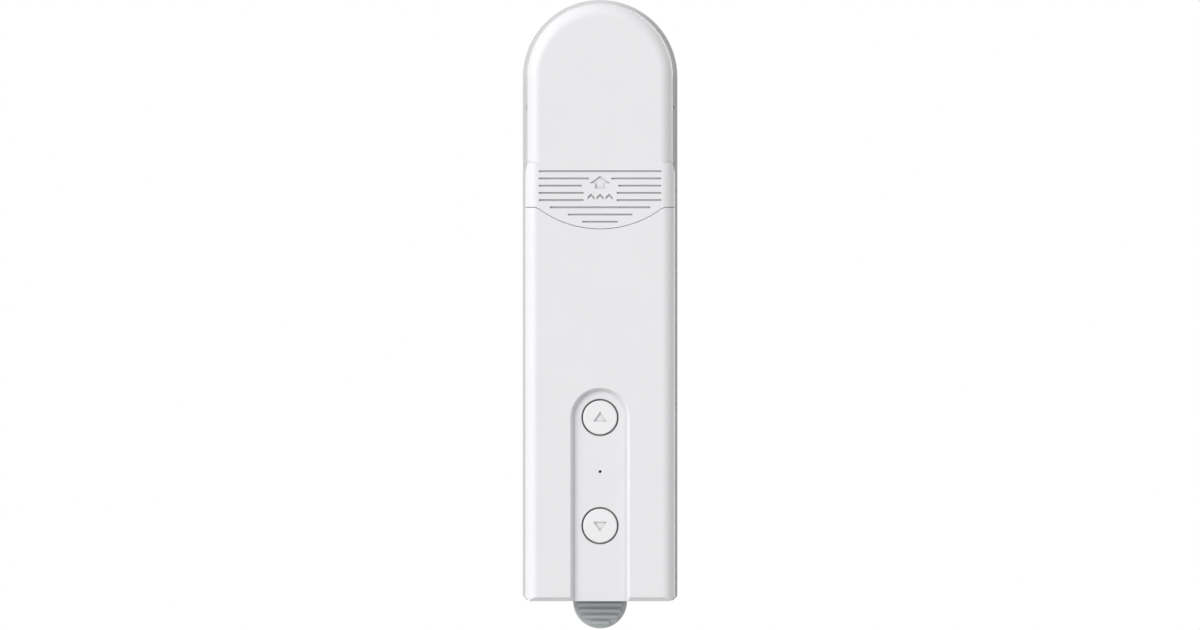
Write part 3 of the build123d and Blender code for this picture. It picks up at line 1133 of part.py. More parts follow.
# Motor: can, magnets, rotor, commutator, shaft, end cap, pinion, encoder magnet and screws
CAN_INNER = MOTOR_R - MOTOR_CAN
CORE_R_MOTOR = CAN_INNER - MAGNET_THICK - AIR_GAP
CORE_BACK = CASE_FRONT + MOTOR_CAN + CORE_START
CAP_BACK = MOTOR_FRONT - CAP_THICK
CORE_FRONT = CAP_BACK - COMMUTATOR_LENGTH - 2 * COMMUTATOR_GAP
CORE_LENGTH = CORE_FRONT - CORE_BACK
TERMINAL_LOW_Z = MOTOR_Z - CAN_INNER + MOTOR_CAN
with BuildPart() as motor_can:
    with BuildSketch(at(CASE_FRONT)):
        with Locations((0, MOTOR_Z)):
            Circle(MOTOR_R)
    extrude(amount=MOTOR_LENGTH)
    chamfer(motor_can.faces().sort_by(Axis.Y)[-1].edges(), CAN_EDGE)
    with BuildSketch(at(CASE_FRONT + MOTOR_CAN)):
        with Locations((0, MOTOR_Z)):
            Circle(CAN_INNER)
    extrude(amount=MOTOR_LENGTH, mode=Mode.SUBTRACT)
    with BuildSketch(at(CASE_FRONT)):
        with Locations((0, MOTOR_Z)):
            Circle(MOTOR_SPIGOT_R)
    extrude(amount=-MOTOR_SPIGOT_HIGH)
    with Locations(*spots(at(CASE_FRONT), [(0, MOTOR_Z)])):
        Cylinder(MOTOR_SHAFT_R + RUN_GAP, 6 * CASE_BASE, mode=Mode.SUBTRACT)
    with Locations(*spots(at(CASE_FRONT), MOTOR_SCREWS)):
        Cylinder(SMALL_SCREW[2] + THREAD_GAP, 3 * MOTOR_CAN, mode=Mode.SUBTRACT)
    with BuildSketch(at(CAP_BACK - LEAD_ROOM)):
        with Locations((0, MOTOR_Z - MOTOR_R)):
            Rectangle(LEAD_SPACING + 4 * LEAD_R, 4 * MOTOR_CAN)
    extrude(amount=LEAD_ROOM, mode=Mode.SUBTRACT)
finish(motor_can, "motor_can")

with BuildPart() as motor_magnets:
    with BuildSketch(at(CORE_BACK - MAGNET_OVERHANG)):
        with Locations((0, MOTOR_Z)):
            Circle(CAN_INNER)
            Circle(CAN_INNER - MAGNET_THICK, mode=Mode.SUBTRACT)
            Rectangle(MAGNET_SPLIT, 2 * MOTOR_R, mode=Mode.SUBTRACT)
    extrude(amount=CORE_LENGTH + 2 * MAGNET_OVERHANG)
finish(motor_magnets, "motor_magnets")

with BuildPart() as motor_shaft:
    with BuildSketch(at(HUB_BACK)):
        with Locations((0, MOTOR_Z)):
            Circle(MOTOR_SHAFT_R)
    extrude(amount=MOTOR_FRONT - MOTOR_SHAFT_INSET - HUB_BACK)
finish(motor_shaft, "motor_shaft")

with BuildPart() as rotor_core:
    with BuildSketch(at(CORE_BACK)):
        with Locations((0, MOTOR_Z)):
            Circle(CORE_R_MOTOR)
            with PolarLocations(CORE_R_MOTOR, POLES, start_angle=90 / POLES):
                Rectangle(2 * POLE_SLOT_DEEP, POLE_SLOT, mode=Mode.SUBTRACT)
            Circle(MOTOR_SHAFT_R + THREAD_GAP, mode=Mode.SUBTRACT)
    extrude(amount=CORE_LENGTH)
finish(rotor_core, "rotor_core")

with BuildPart() as commutator:
    with BuildSketch(at(CORE_FRONT + COMMUTATOR_GAP)):
        with Locations((0, MOTOR_Z)):
            Circle(COMMUTATOR_R)
            Circle(MOTOR_SHAFT_R + THREAD_GAP, mode=Mode.SUBTRACT)
    extrude(amount=COMMUTATOR_LENGTH)
finish(commutator, "commutator")

with BuildPart() as motor_end_cap:
    with BuildSketch(at(CAP_BACK)):
        with Locations((0, MOTOR_Z)):
            Circle(CAN_INNER - THREAD_GAP)
            Circle(MOTOR_SHAFT_R + RUN_GAP, mode=Mode.SUBTRACT)
    extrude(amount=CAP_THICK)
    with BuildSketch(at(CAP_BACK)):
        with Locations((0, TERMINAL_LOW_Z)):
            Rectangle(LEAD_SPACING + 3 * LEAD_R, TERMINAL_HIGH, align=(Align.CENTER, Align.MIN))
    extrude(amount=-LEAD_ROOM)
finish(motor_end_cap, "motor_end_cap")

with BuildPart() as motor_pinion:
    with BuildSketch(at(LAYER_1)):
        with Locations((0, MOTOR_Z)):
            add(tooth_up(0))
            Circle(MOTOR_SHAFT_R + THREAD_GAP, mode=Mode.SUBTRACT)
    extrude(amount=LAYER_WIDTHS[0])
finish(motor_pinion, "motor_pinion")

ENCODER_BACK = LAYER_3 + ENCODER_GAP
with BuildPart() as encoder_magnet:
    with BuildSketch(at(ENCODER_BACK)):
        with Locations((0, MOTOR_Z)):
            Circle(ENCODER_R)
            Circle(MOTOR_SHAFT_R + THREAD_GAP, mode=Mode.SUBTRACT)
    extrude(amount=ENCODER_THICK)
finish(encoder_magnet, "encoder_magnet")

HALL_TOP_Z = MOTOR_Z - ENCODER_R - HALL_GAP
with BuildPart() as hall_board:
    with BuildSketch(at(CASE_RIM - HALL_THICK)):
        with Locations((0, HALL_TOP_Z)):
            Rectangle(HALL_WIDTH, HALL_HIGH, align=(Align.CENTER, Align.MAX))
    extrude(amount=HALL_THICK)
    with BuildSketch(at(CASE_RIM - HALL_THICK)):
        with Locations((0, HALL_TOP_Z)):
            Rectangle(HALL_CHIP[0], HALL_CHIP[1], align=(Align.CENTER, Align.MAX))
    extrude(amount=-HALL_CHIP[2])
finish(hall_board, "hall_board")

with BuildPart() as motor_screws:
    with Locations(*spots(facing_wall(CASE_RIM), MOTOR_SCREWS)):
        add(screw(SMALL_SCREW, CASE_BASE + MOTOR_CAN))
finish(motor_screws, "motor_screws")

with BuildPart() as gearbox_screws:
    with Locations(*spots(at(CASE_FRONT), CASE_EARS)):
        add(screw(SMALL_SCREW, CASE_BASE + GEARBOX_BITE))
finish(gearbox_screws, "gearbox_screws")

with BuildPart() as deck_screws:
    with Locations(*spots(at(DECK_FRONT - DECK_SEAT), DECK_POSTS)):
        add(screw(SMALL_SCREW, PARTING - CASE_FRONT))
finish(deck_screws, "deck_screws")

with BuildPart() as shell_screws:
    with Locations(*spots(facing_wall(POST_SPLIT - SHELL_SEAT), SHELL_POSTS)):
        add(screw(SHELL_SCREW, SHELL_SCREW_LENGTH))
finish(shell_screws, "shell_screws")

# Cells, their end contacts and the tray that holds them
for side, name in ((-1, "cell_left"), (1, "cell_right")):
    with BuildPart() as cell:
        with Locations((side * CELL_X, -CELL_DEPTH, CELL_BOTTOM_Z)):
            Cylinder(CELL_R, CELL_LENGTH - CELL_TIP_HIGH, align=(Align.CENTER, Align.CENTER, Align.MIN))
        fillet(cell.edges().filter_by(GeomType.CIRCLE), CELL_EDGE)
        with Locations((side * CELL_X, -CELL_DEPTH, CELL_TOP_Z)):
            Cylinder(CELL_TIP_R, 2 * CELL_TIP_HIGH, align=(Align.CENTER, Align.CENTER, Align.MAX))
    finish(cell, name)

with BuildPart() as cell_contacts:
    for z in (CELL_BOTTOM_Z - CONTACT_THICK, CELL_TOP_Z):
        with BuildSketch(Plane.XY.offset(z)):
            with Locations((-CELL_X, -CELL_DEPTH), (CELL_X, -CELL_DEPTH)):
                RectangleRounded(CONTACT_SIZE, CONTACT_SIZE, CELL_EDGE)
        extrude(amount=CONTACT_THICK)
finish(cell_contacts, "cell_contacts")

with BuildPart() as cell_tray:
    with BuildSketch(at(TRAY_BACK)):
        with Locations((0, TRAY_LOW_Z)):
            Rectangle(2 * TRAY_HALF, TRAY_HIGH_Z - TRAY_LOW_Z, align=(Align.CENTER, Align.MIN))
        with Locations((0, (CELL_TOP_Z + CELL_BOTTOM_Z) / 2)):
            Rectangle(2 * (TRAY_HALF - TRAY_SIDE), CELL_LENGTH - 2 * TRAY_FRAME, mode=Mode.SUBTRACT)
    extrude(amount=TRAY_THICK)
    for z in (TRAY_LOW_Z, TRAY_HIGH_Z - TRAY_THICK):
        with BuildSketch(Plane.XY.offset(z)):
            with Locations((0, -TRAY_BACK)):
                Rectangle(2 * TRAY_HALF, TRAY_BACK - CASE_BACK - CELL_GAP, align=(Align.CENTER, Align.MIN))
        extrude(amount=TRAY_THICK)
finish(cell_tray, "cell_tray")

# Main board and what is soldered to it
with BuildPart() as main_board:
    with BuildSketch(at(BOARD_BACK)):
        with Locations((0, BOARD_LOW_Z)):
            Rectangle(BOARD_WIDTH, BOARD_TOP_Z - BOARD_LOW_Z, align=(Align.CENTER, Align.MIN))
        with Locations(*SHELL_POSTS):
            Circle(POST_R + 2 * FIT_GAP, mode=Mode.SUBTRACT)
        with Locations(*BOARD_POSTS):
            Circle(SMALL_SCREW[2] + FIT_GAP, mode=Mode.SUBTRACT)
    extrude(amount=BOARD_THICK)
finish(main_board, "main_board")

with BuildPart() as board_screws:
    with Locations(*spots(facing_wall(BOARD_BACK), BOARD_POSTS)):
        add(screw(SMALL_SCREW, BOARD_THICK + BOARD_BITE))
finish(board_screws, "board_screws")

BUTTONS = {"up": UP_BUTTON_Z, "down": DOWN_BUTTON_Z}
PLUNGER_BACK = PLUNGER_TOP - PLUNGER_LONG
for name, z in BUTTONS.items():
    with BuildPart() as switch_body:
        with BuildSketch(at(BOARD_FRONT)):
            with Locations((0, z)):
                RectangleRounded(SWITCH_SIZE, SWITCH_SIZE, SWITCH_EDGE)
        extrude(amount=SWITCH_HIGH)
        with BuildSketch(at(PLUNGER_BACK - BUTTON_TRAVEL - PLUNGER_GAP)):
            with Locations((0, z)):
                Circle(PLUNGER_R + RUN_GAP)
        extrude(amount=SWITCH_HIGH, mode=Mode.SUBTRACT)
    finish(switch_body, name + "_switch_body")

    with BuildPart() as plunger:
        with BuildSketch(at(PLUNGER_BACK)):
            with Locations((0, z)):
                Circle(PLUNGER_R)
        extrude(amount=PLUNGER_LONG)
    finish(plunger, name + "_switch_plunger")

    with BuildPart() as button:
        with BuildSketch(at(FLANGE_BACK)):
            with Locations((0, z)):
                Circle(FLANGE_R)
        extrude(amount=FLANGE_THICK)
        with BuildSketch(at(FLANGE_BACK)):
            with Locations((0, z)):
                Circle(BUTTON_R)
        extrude(amount=BUTTON_TOP - FLANGE_BACK)
        chamfer(button.faces().sort_by(Axis.Y)[0].edges(), BUTTON_EDGE)
        with BuildSketch(at(PLUNGER_TOP)):
            with Locations((0, z)):
                Circle(PLUNGER_R)
        extrude(amount=FLANGE_BACK - PLUNGER_TOP)
        way = 1 if name == "up" else -1
        point = way * TRIANGLE_HIGH / 2
        with BuildSketch(at(BUTTON_TOP - MARK_DEEP)):
            with Locations((0, z + way * TRIANGLE_SHIFT)):
                Polygon((-TRIANGLE_HALF, -point), (TRIANGLE_HALF, -point), (0, point), align=None)
        extrude(amount=PAST, mode=Mode.SUBTRACT)
    finish(button, name + "_button")

with BuildPart() as status_led:
    with BuildSketch(at(BOARD_FRONT)):
        with Locations((0, LIGHT_Z)):
            Rectangle(LED_SIZE[0], LED_SIZE[1])
    extrude(amount=LED_SIZE[2])
finish(status_led, "status_led")

GUIDE_LOW = BOARD_FRONT + LED_SIZE[2] + LIGHT_GUIDE_GAP
with BuildPart() as light_guide:
    with BuildSketch(at(GUIDE_LOW)):
        with Locations((0, LIGHT_Z)):
            Circle(LIGHT_GUIDE_R)
    extrude(amount=FLOOR_BACK - GUIDE_LOW)
    with BuildSketch(at(FLOOR_BACK)):
        with Locations((0, LIGHT_Z)):
            Circle(LIGHT_HOLE_R - 2 * THREAD_GAP)
    extrude(amount=LIGHT_GUIDE_RISE)
finish(light_guide, "light_guide")

PORT_MOUTH_Z = BOTTOM + PORT_INSET
PORT_PLANE = Plane.XY.offset(PORT_MOUTH_Z)
PORT_Y = -BOARD_FRONT - PORT_HIGH / 2
with BuildPart() as charging_port:
    with BuildSketch(PORT_PLANE):
        with Locations((0, PORT_Y)):
            SlotOverall(PORT_WIDTH, PORT_HIGH)
    extrude(amount=PORT_LENGTH)
    with BuildSketch(PORT_PLANE):
        with Locations((0, PORT_Y)):
            SlotOverall(PORT_WIDTH - 2 * PORT_SHEET, PORT_HIGH - 2 * PORT_SHEET)
            Rectangle(PORT_TONGUE, PORT_TONGUE_THICK, mode=Mode.SUBTRACT)
    extrude(amount=PORT_LENGTH - PORT_BACK, mode=Mode.SUBTRACT)
    with BuildSketch(PORT_PLANE):
        with Locations((0, PORT_Y)):
            Rectangle(PORT_TONGUE + PORT_SHEET, PORT_TONGUE_THICK + PORT_SHEET)
    extrude(amount=PORT_TONGUE_INSET, mode=Mode.SUBTRACT)
finish(charging_port, "charging_port")

# Board pieces stand along two lines between the board's posts. Each has its name, side, share of the
# way from the low post to the high one, width, height up the board and thickness off the board.
BLOCKS = [("radio_module", 1, 0.52, 9.0, 14.0, 2.4),
          ("driver_chip", -1, 0.78, 6.0, 6.0, 1.0),
          ("power_inductor", -1, 0.57, 7.0, 7.0, 3.4),
          ("charge_chip", 1, 0.20, 4.0, 4.0, 0.9)]
CAPACITOR_SHARES = (0.20, 0.37)


def along_board(side, share):
    """X and Z of a place on one of the board's two lines."""
    low, high = BOARD_POST_ZS
    return (side * BOARD_SIDE_X, low + share * (high - low))


for name, side, share, wide, high, thick in BLOCKS:
    with BuildPart() as block:
        with BuildSketch(at(BOARD_FRONT)):
            with Locations(along_board(side, share)):
                RectangleRounded(wide, high, CHIP_CORNER)
        extrude(amount=thick)
        chamfer(block.faces().sort_by(Axis.Y)[0].edges(), CHIP_EDGE)
    finish(block, name)

with BuildPart() as board_capacitors:
    with BuildSketch(at(BOARD_FRONT)):
        with Locations(*[along_board(-1, share) for share in CAPACITOR_SHARES]):
            Circle(CAPACITOR_R)
    extrude(amount=CAPACITOR_HIGH)
finish(board_capacitors, "board_capacitors")

# Plugs on the board's top edge, with the leads from the motor and the cells
PLUG_TOP_Z = BOARD_TOP_Z - PLUG_GAP
LEAD_DEPTH = CAP_BACK - LEAD_ROOM / 2
CELL_LEAD_DEPTH = TRAY_BACK - CELL_LEAD_INSET
with BuildPart() as lead_plugs:
    with BuildSketch(at(BOARD_FRONT)):
        with Locations((0, PLUG_TOP_Z), (CELL_PLUG_X, PLUG_TOP_Z)):
            Rectangle(PLUG_WIDTH, PLUG_LONG, align=(Align.CENTER, Align.MAX))
    extrude(amount=PLUG_HIGH)
finish(lead_plugs, "lead_plugs")

motor_runs = [Line((x, -LEAD_DEPTH, TERMINAL_LOW_Z), (x, -LEAD_DEPTH, PLUG_TOP_Z))
              for x in (-LEAD_SPACING / 2, LEAD_SPACING / 2)]
with BuildPart() as motor_leads:
    for run in motor_runs:
        add(wire(run, LEAD_R))
finish(motor_leads, "motor_leads")

LEAD_CREST_Z = TRAY_HIGH_Z + LEAD_BEND + LEAD_R
cell_runs = [FilletPolyline((x, -CELL_LEAD_DEPTH, TRAY_HIGH_Z), (x, -CELL_LEAD_DEPTH, LEAD_CREST_Z),
                            (x, -LEAD_DEPTH, LEAD_CREST_Z), (x, -LEAD_DEPTH, PLUG_TOP_Z), radius=LEAD_BEND)
             for x in (CELL_PLUG_X - LEAD_SPACING / 2, CELL_PLUG_X + LEAD_SPACING / 2)]
with BuildPart() as cell_leads:
    for run in cell_runs:
        add(wire(run, LEAD_R))
finish(cell_leads, "cell_leads")
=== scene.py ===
import json
import math

import bpy
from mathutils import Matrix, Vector


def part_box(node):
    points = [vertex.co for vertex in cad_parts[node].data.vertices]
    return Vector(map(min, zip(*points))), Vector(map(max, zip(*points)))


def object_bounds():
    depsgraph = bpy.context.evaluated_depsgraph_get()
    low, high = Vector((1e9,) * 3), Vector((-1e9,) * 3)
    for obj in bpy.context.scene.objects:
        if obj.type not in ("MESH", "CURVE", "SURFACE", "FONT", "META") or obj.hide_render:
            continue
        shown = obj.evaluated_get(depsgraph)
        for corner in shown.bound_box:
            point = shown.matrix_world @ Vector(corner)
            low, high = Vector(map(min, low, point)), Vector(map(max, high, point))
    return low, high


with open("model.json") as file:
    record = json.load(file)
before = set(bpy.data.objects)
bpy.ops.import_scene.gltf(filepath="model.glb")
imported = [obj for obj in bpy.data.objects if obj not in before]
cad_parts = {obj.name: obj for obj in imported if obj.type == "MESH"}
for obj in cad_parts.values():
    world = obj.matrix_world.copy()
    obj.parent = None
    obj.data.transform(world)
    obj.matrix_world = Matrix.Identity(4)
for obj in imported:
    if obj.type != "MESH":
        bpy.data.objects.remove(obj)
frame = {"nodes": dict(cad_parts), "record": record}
cad_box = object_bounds()

# Lengths are in metres, angles in degrees and colours in linear light
MM = 0.001

# The photograph's frame in pixels, and where the body's outline lies in it
FRAME_WIDE = 1200
FRAME_HIGH = 630
BODY_CENTRE_PX = 600.1
BODY_TOP_PX = -0.2
BODY_WIDTH_PX = 154.6

# From the camera to the body's rim
CAMERA_DISTANCE = 4.0

# Light: a level is the share of full brightness that it gives a white face turned to it,
# and a lamp's spread is how wide it is in the sky
WORLD_LEVEL = 0.695
KEY_LEVEL = 0.575
KEY_FROM = (-0.70, -0.66, 0.22)
KEY_SPREAD = 35.0
BACK_LEVEL = 0.22
BACK_FROM = (0.35, 0.85, 0.20)
BACK_SPREAD = 40.0

# Floor: how far below the object it lies, how wide it is, its grey, and the glow that shows it pale
FLOOR_DROP = 0.20
FLOOR_SIZE = 14.0
FLOOR_GREY = 0.50
FLOOR_GLOW = 0.62

# Samples round each point for rounded edges, worn edges and the painted shade in grooves
ROUND_SAMPLES = 6
WORN_SAMPLES = 4
GROOVE_SAMPLES = 8

# How far the rounded normal agrees with the flat one where wear starts to show and where it is full
WEAR_STARTS = 0.98
WEAR_FULL = 0.80

# The span that most of a noise texture's values fall in
NOISE_LOW = 0.3
NOISE_HIGH = 0.7


def make_camera():
    """Long lens, level with the middle of the photograph's frame and square to the front.

    The rear shell's rim is the body's outline in the photograph, so it gives the scale.
    """
    low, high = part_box("rear_shell")
    metres_per_px = (high.x - low.x) / BODY_WIDTH_PX
    x = (low.x + high.x) / 2 + (FRAME_WIDE / 2 - BODY_CENTRE_PX) * metres_per_px
    z = high.z - (FRAME_HIGH / 2 - BODY_TOP_PX) * metres_per_px
    camera = bpy.data.cameras.new("camera")
    camera.lens = camera.sensor_width * CAMERA_DISTANCE / (FRAME_WIDE * metres_per_px)
    holder = bpy.data.objects.new("camera", camera)
    holder.location = (x, low.y - CAMERA_DISTANCE, z)
    holder.rotation_euler = (math.radians(90), 0, 0)
    bpy.context.collection.objects.link(holder)
    bpy.context.scene.camera = holder


def make_sun(name, level, source, spread):
    """Distant lamp in the direction called source, as wide in the sky as its spread."""
    lamp = bpy.data.lights.new(name, "SUN")
    lamp.energy = level * math.pi
    lamp.angle = math.radians(spread)
    holder = bpy.data.objects.new(name, lamp)
    holder.rotation_mode = "QUATERNION"
    holder.rotation_quaternion = Vector(source).to_track_quat("Z", "Y")
    bpy.context.collection.objects.link(holder)


def seen_directly(tree):
    """1 for rays from the camera, a reflection or a clear body, and 0 for the rays that carry light."""
    path = tree.nodes.new("ShaderNodeLightPath")
    seen = path.outputs["Is Camera Ray"]
    for kind in ("Is Glossy Ray", "Is Transmission Ray"):
        either = tree.nodes.new("ShaderNodeMath")
        either.operation = "MAXIMUM"
        tree.links.new(seen, either.inputs[0])
        tree.links.new(path.outputs[kind], either.inputs[1])
        seen = either.outputs[0]
    return seen


def make_world():
    """Even pale studio round the object, shown as plain white."""
    world = bpy.data.worlds.new("studio")
    bpy.context.scene.world = world
    world.use_nodes = True
    tree = world.node_tree
    strength = tree.nodes.new("ShaderNodeMapRange")
    strength.inputs["To Min"].default_value = WORLD_LEVEL
    strength.inputs["To Max"].default_value = 1.0
    tree.links.new(seen_directly(tree), strength.inputs["Value"])
    background = tree.nodes["Background"]
    background.inputs["Color"].default_value = (1, 1, 1, 1)
    tree.links.new(strength.outputs["Result"], background.inputs["Strength"])


def floor_material():
    """Pale paint that glows only where it is seen directly, and that is clear from below."""
    material = bpy.data.materials.new("floor")
    material.use_nodes = True
    tree = material.node_tree
    tree.nodes.clear()
    paint = tree.nodes.new("ShaderNodeBsdfDiffuse")
    paint.inputs["Color"].default_value = (FLOOR_GREY, FLOOR_GREY, FLOOR_GREY, 1)
    share = tree.nodes.new("ShaderNodeMath")
    share.operation = "MULTIPLY"
    share.inputs[1].default_value = FLOOR_GLOW
    tree.links.new(seen_directly(tree), share.inputs[0])
    glow = tree.nodes.new("ShaderNodeEmission")
    tree.links.new(share.outputs[0], glow.inputs["Strength"])
    top = tree.nodes.new("ShaderNodeAddShader")
    tree.links.new(paint.outputs[0], top.inputs[0])
    tree.links.new(glow.outputs[0], top.inputs[1])
    clear = tree.nodes.new("ShaderNodeBsdfTransparent")
    side = tree.nodes.new("ShaderNodeNewGeometry")
    both = tree.nodes.new("ShaderNodeMixShader")
    tree.links.new(side.outputs["Backfacing"], both.inputs["Fac"])
    tree.links.new(top.outputs[0], both.inputs[1])
    tree.links.new(clear.outputs[0], both.inputs[2])
    out = tree.nodes.new("ShaderNodeOutputMaterial")
    tree.links.new(both.outputs[0], out.inputs["Surface"])
    return material


def make_floor():
    """Wide floor below the object, which keeps its shadow."""
    low = cad_box[0].z - FLOOR_DROP
    half = FLOOR_SIZE / 2
    mesh = bpy.data.meshes.new("floor")
    corners = [(-half, -half, low), (half, -half, low), (half, half, low), (-half, half, low)]
    mesh.from_pydata(corners, [], [(0, 1, 2, 3)])
    mesh.materials.append(floor_material())
    floor = bpy.data.objects.new("floor", mesh)
    bpy.context.collection.objects.link(floor)


def shade(colour, share):
    """The same colour, lighter or darker by a share."""
    return tuple(min(1.0, channel * share) for channel in colour)


class Finish:
    """A material and short calls that build its nodes. Sizes are real lengths, measured on the piece."""

    def __init__(self, name, roughness, metallic=0.0, coat=0.0, ior=1.5):
        self.material = bpy.data.materials.new(name)
        self.material.use_nodes = True
        self.tree = self.material.node_tree
        self.tree.nodes.clear()
        self.shader = self.add("ShaderNodeBsdfPrincipled")
        out = self.add("ShaderNodeOutputMaterial")
        self.join(self.shader.outputs["BSDF"], out.inputs["Surface"])
        self.shader.inputs["Roughness"].default_value = roughness
        self.shader.inputs["Metallic"].default_value = metallic
        self.shader.inputs["Coat Weight"].default_value = coat
        self.shader.inputs["IOR"].default_value = ior
        self.place = self.add("ShaderNodeTexCoord").outputs["Object"]
        self.normal = None

    def add(self, kind):
        return self.tree.nodes.new(kind)

    def join(self, source, target):
        self.tree.links.new(source, target)

    def noise(self, size, detail=2.0, stretch=(1, 1, 1)):
        """Soft mottle whose blotches are about that size, and longer by the stretch along each axis."""
        mapping = self.add("ShaderNodeMapping")
        mapping.inputs["Scale"].default_value = tuple(1 / share for share in stretch)
        self.join(self.place, mapping.inputs["Vector"])
        node = self.add("ShaderNodeTexNoise")
        node.inputs["Scale"].default_value = 1 / size
        node.inputs["Detail"].default_value = detail
        self.join(mapping.outputs["Vector"], node.inputs["Vector"])
        return node.outputs["Fac"]

    def cells(self, size):
        """Distance to the middle of irregular grains of about that size."""
        node = self.add("ShaderNodeTexVoronoi")
        node.inputs["Scale"].default_value = 1 / size
        self.join(self.place, node.inputs["Vector"])
        return node.outputs["Distance"]

    def tracks(self, size, gap):
        """1 on the joints of a brick pattern of that size, seen from the front, and 0 on its bricks."""
        turn = self.add("ShaderNodeMapping")
        turn.inputs["Rotation"].default_value = (math.radians(90), 0, 0)
        self.join(self.place, turn.inputs["Vector"])
        node = self.add("ShaderNodeTexBrick")
        node.inputs["Scale"].default_value = 1 / size
        node.inputs["Mortar Size"].default_value = gap
        for socket, level in (("Color1", 0), ("Color2", 0), ("Mortar", 1)):
            node.inputs[socket].default_value = (level, level, level, 1)
        self.join(turn.outputs["Vector"], node.inputs["Vector"])
        return node.outputs["Color"]

    def worn_edges(self, radius):
        """0 on open faces and up to 1 along sharp edges, within about that radius."""
        rounded = self.add("ShaderNodeBevel")
        rounded.samples = WORN_SAMPLES
        rounded.inputs["Radius"].default_value = radius
        flat = self.add("ShaderNodeNewGeometry")
        dot = self.add("ShaderNodeVectorMath")
        dot.operation = "DOT_PRODUCT"
        self.join(rounded.outputs["Normal"], dot.inputs[0])
        self.join(flat.outputs["Normal"], dot.inputs[1])
        return self.ranged(dot.outputs["Value"], WEAR_STARTS, WEAR_FULL, 0.0, 1.0)

    def open_faces(self, reach):
        """1 on open faces, and less the more there is within that reach, as in grooves and joints."""
        node = self.add("ShaderNodeAmbientOcclusion")
        node.samples = GROOVE_SAMPLES
        node.inputs["Distance"].default_value = reach
        return node.outputs["AO"]

    def ranged(self, source, low, high, to_low, to_high):
        """The source's values from low to high, spread from to_low to to_high."""
        node = self.add("ShaderNodeMapRange")
        node.inputs["From Min"].default_value = low
        node.inputs["From Max"].default_value = high
        node.inputs["To Min"].default_value = to_low
        node.inputs["To Max"].default_value = to_high
        self.join(source, node.inputs["Value"])
        return node.outputs["Result"]

    def blend(self, factor, first, second):
        """Colour between two, each a plain colour or another blend."""
        node = self.add("ShaderNodeMix")
        node.data_type = "RGBA"
        self.join(factor, node.inputs["Factor"])
        for end, colour in (("A", first), ("B", second)):
            socket = [s for s in node.inputs if s.name == end and s.type == "RGBA"][0]
            if isinstance(colour, tuple):
                socket.default_value = (*colour, 1)
            else:
                self.join(colour, socket)
        return [s for s in node.outputs if s.type == "RGBA"][0]

    def mottled(self, colour, size, low, high, detail=2.0):
        """Blotches of that size, from low to high times as bright as the colour."""
        return self.blend(self.noise(size, detail), shade(colour, low), shade(colour, high))

    def colour(self, source):
        self.join(source, self.shader.inputs["Base Color"])

    def rough(self, texture, low, high):
        """Roughness from low to high over the usual span of a noise texture."""
        self.join(self.ranged(texture, NOISE_LOW, NOISE_HIGH, low, high), self.shader.inputs["Roughness"])

    def face(self, normal):
        self.normal = normal
        self.join(normal, self.shader.inputs["Normal"])

    def rounded(self, radius):
        """Softens sharp edges to that radius under whatever bump follows."""
        node = self.add("ShaderNodeBevel")
        node.samples = ROUND_SAMPLES
        node.inputs["Radius"].default_value = radius
        self.face(node.outputs["Normal"])

    def bump(self, height, depth):
        """Raises the surface by up to that depth where the source is 1."""
        node = self.add("ShaderNodeBump")
        node.inputs["Distance"].default_value = depth
        self.join(height, node.inputs["Height"])
        if self.normal is not None:
            self.join(self.normal, node.inputs["Normal"])
        self.face(node.outputs["Normal"])


def moulded(name, colour, roughness, edge=0.08 * MM, relief=0.004 * MM, mottle=0.03, painted_shade=0.65,
            reach=1.5 * MM):
    """Satin moulded plastic: spark-eroded grain, faint flow mottle, polished edges, painted shade in
    grooves.

    The relief is the grain's depth, and mottle is how much the colour varies.
    A groove or joint within reach gets painted shade: it is darker by up to the painted shade's share of
    the colour.
    """
    made = Finish(name, roughness)
    made.rounded(edge)
    base = made.mottled(colour, size=14 * MM, low=1 - mottle, high=1 + mottle / 2, detail=3.0)
    body = made.blend(made.worn_edges(edge * 2), base, shade(colour, 1 + mottle))
    # Painted shade: the colour darkens in grooves, joints and corners, where shade falls
    made.colour(made.blend(made.open_faces(reach), shade(colour, 1 - painted_shade), body))
    made.rough(made.noise(size=1.2 * MM), low=roughness - 0.05, high=roughness + 0.05)
    made.bump(made.noise(size=0.28 * MM, detail=3.0), depth=relief)
    return made.material


def drawn_metal(name, colour, roughness):
    """Metal with fine parallel lines along its Y axis, and duller patches."""
    made = Finish(name, roughness, metallic=1.0)
    made.rounded(radius=0.08 * MM)
    lines = made.noise(size=0.25 * MM, detail=4.0, stretch=(1, 12, 1))
    made.colour(made.mottled(colour, size=5 * MM, low=0.86, high=1.08, detail=3.0))
    made.rough(lines, low=roughness - 0.08, high=roughness + 0.12)
    made.bump(lines, depth=0.003 * MM)
    return made.material


def sintered(name, colour, roughness):
    """Dull pressed powder with fine pits."""
    made = Finish(name, roughness)
    made.rounded(radius=0.1 * MM)
    made.colour(made.mottled(colour, size=2 * MM, low=0.8, high=1.25))
    made.bump(made.cells(size=0.35 * MM), depth=0.02 * MM)
    return made.material


def circuit_board(name, colour):
    """Solder mask over copper tracks that run along the board."""
    made = Finish(name, roughness=0.35, coat=0.3)
    made.rounded(radius=0.06 * MM)
    tracks = made.tracks(size=9 * MM, gap=0.035)
    mask = made.mottled(colour, size=0.6 * MM, low=0.85, high=1.15)
    mask_over_copper = shade(colour, 2.0)
    made.colour(made.blend(tracks, mask, mask_over_copper))
    made.bump(tracks, depth=0.02 * MM)
    return made.material


def soft_foam(name, colour):
    """Closed-cell foam tape with open pores on its cut faces."""
    made = Finish(name, roughness=0.9)
    made.colour(made.mottled(colour, size=3 * MM, low=0.9, high=1.05))
    made.bump(made.cells(size=0.5 * MM), depth=0.08 * MM)
    return made.material


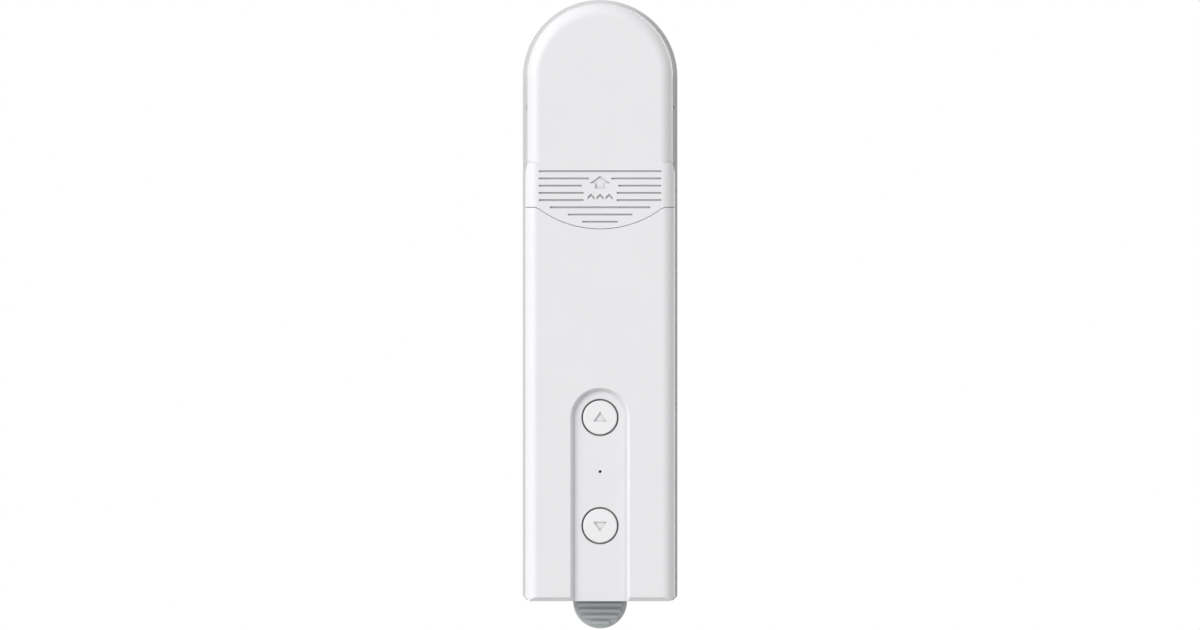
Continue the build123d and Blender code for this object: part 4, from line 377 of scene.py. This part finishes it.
def shrink_wrap(name, colour):
    """Thin glossy sleeve with faint shrink wrinkles, longer along the cell than round it."""
    made = Finish(name, roughness=0.28, coat=0.5)
    made.rounded(radius=0.3 * MM)
    made.colour(made.mottled(colour, size=8 * MM, low=0.92, high=1.06))
    made.bump(made.noise(size=2.5 * MM, stretch=(1, 1, 4)), depth=0.03 * MM)
    return made.material


def silicone(name, colour):
    """Soft lead insulation, dusty and even."""
    made = Finish(name, roughness=0.55)
    made.colour(made.mottled(colour, size=1.5 * MM, low=0.85, high=1.2))
    made.bump(made.noise(size=0.2 * MM), depth=0.005 * MM)
    return made.material


def smoked_light_pipe(name, colour):
    """Smoked plastic that looks nearly black, with little sheen."""
    made = Finish(name, roughness=0.45, ior=1.25)
    made.colour(made.mottled(colour, size=0.5 * MM, low=0.8, high=1.2))
    made.bump(made.noise(size=0.4 * MM), depth=0.002 * MM)
    return made.material


WHITE = (0.850, 0.850, 0.866)
FINISHES = {
    "white_plastic": moulded("white_plastic", WHITE, 0.46),
    "cover_plastic": moulded("cover_plastic", WHITE, 0.46),
    # Painted shade reaches further here, over the rim step round the front shell
    "rear_plastic": moulded("rear_plastic", WHITE, 0.46, reach=5 * MM),
    "button_plastic": moulded("button_plastic", (0.90, 0.90, 0.914), 0.42),
    "tab_plastic": moulded("tab_plastic", (0.58, 0.61, 0.62), 0.50, mottle=0.05, painted_shade=0.45),
    "bracket_plastic": moulded("bracket_plastic", (0.80, 0.80, 0.81), 0.50, edge=0.25 * MM),
    "adhesive_foam": soft_foam("adhesive_foam", (0.72, 0.72, 0.70)),
    "steel": drawn_metal("steel", (0.60, 0.60, 0.61), 0.32),
    "motor_steel": drawn_metal("motor_steel", (0.66, 0.66, 0.66), 0.28),
    "magnet": sintered("magnet", (0.05, 0.05, 0.055), 0.6),
    "copper_brass": drawn_metal("copper_brass", (0.78, 0.52, 0.25), 0.30),
    "gear_acetal": moulded("gear_acetal", (0.78, 0.76, 0.68), 0.38, edge=0.06 * MM),
    "case_nylon": moulded("case_nylon", (0.030, 0.030, 0.033), 0.55, relief=0.01 * MM),
    "wheel_acetal": moulded("wheel_acetal", (0.70, 0.70, 0.71), 0.40, edge=0.15 * MM),
    "cell_wrap": shrink_wrap("cell_wrap", (0.03, 0.10, 0.28)),
    "board": circuit_board("board", (0.010, 0.075, 0.035)),
    "black_plastic": moulded("black_plastic", (0.018, 0.018, 0.020), 0.50),
    "shield": drawn_metal("shield", (0.70, 0.70, 0.71), 0.25),
    "ferrite": sintered("ferrite", (0.04, 0.04, 0.045), 0.55),
    "capacitor": drawn_metal("capacitor", (0.68, 0.68, 0.70), 0.35),
    "plug_plastic": moulded("plug_plastic", (0.78, 0.75, 0.64), 0.42),
    "lead_rubber": silicone("lead_rubber", (0.36, 0.012, 0.010)),
    "light_pipe": smoked_light_pipe("light_pipe", (0.003, 0.003, 0.003)),
}


def dress_frame():
    """Gives each node the finish that its material slot names, and the rear shell its own.

    The rear shell's rim is the floor of the step round the front shell, so its painted shade reaches
    further.
    """
    chosen = {part["node"]: part["material_slot"] for part in frame["record"]["subparts"]}
    chosen["rear_shell"] = "rear_plastic"
    for name, node in frame["nodes"].items():
        node.data.materials.clear()
        node.data.materials.append(FINISHES[chosen[name]])


make_camera()
make_sun("key", KEY_LEVEL, KEY_FROM, KEY_SPREAD)
make_sun("back", BACK_LEVEL, BACK_FROM, BACK_SPREAD)
make_world()
make_floor()
dress_frame()
bpy.context.scene.view_settings.view_transform = "Standard"
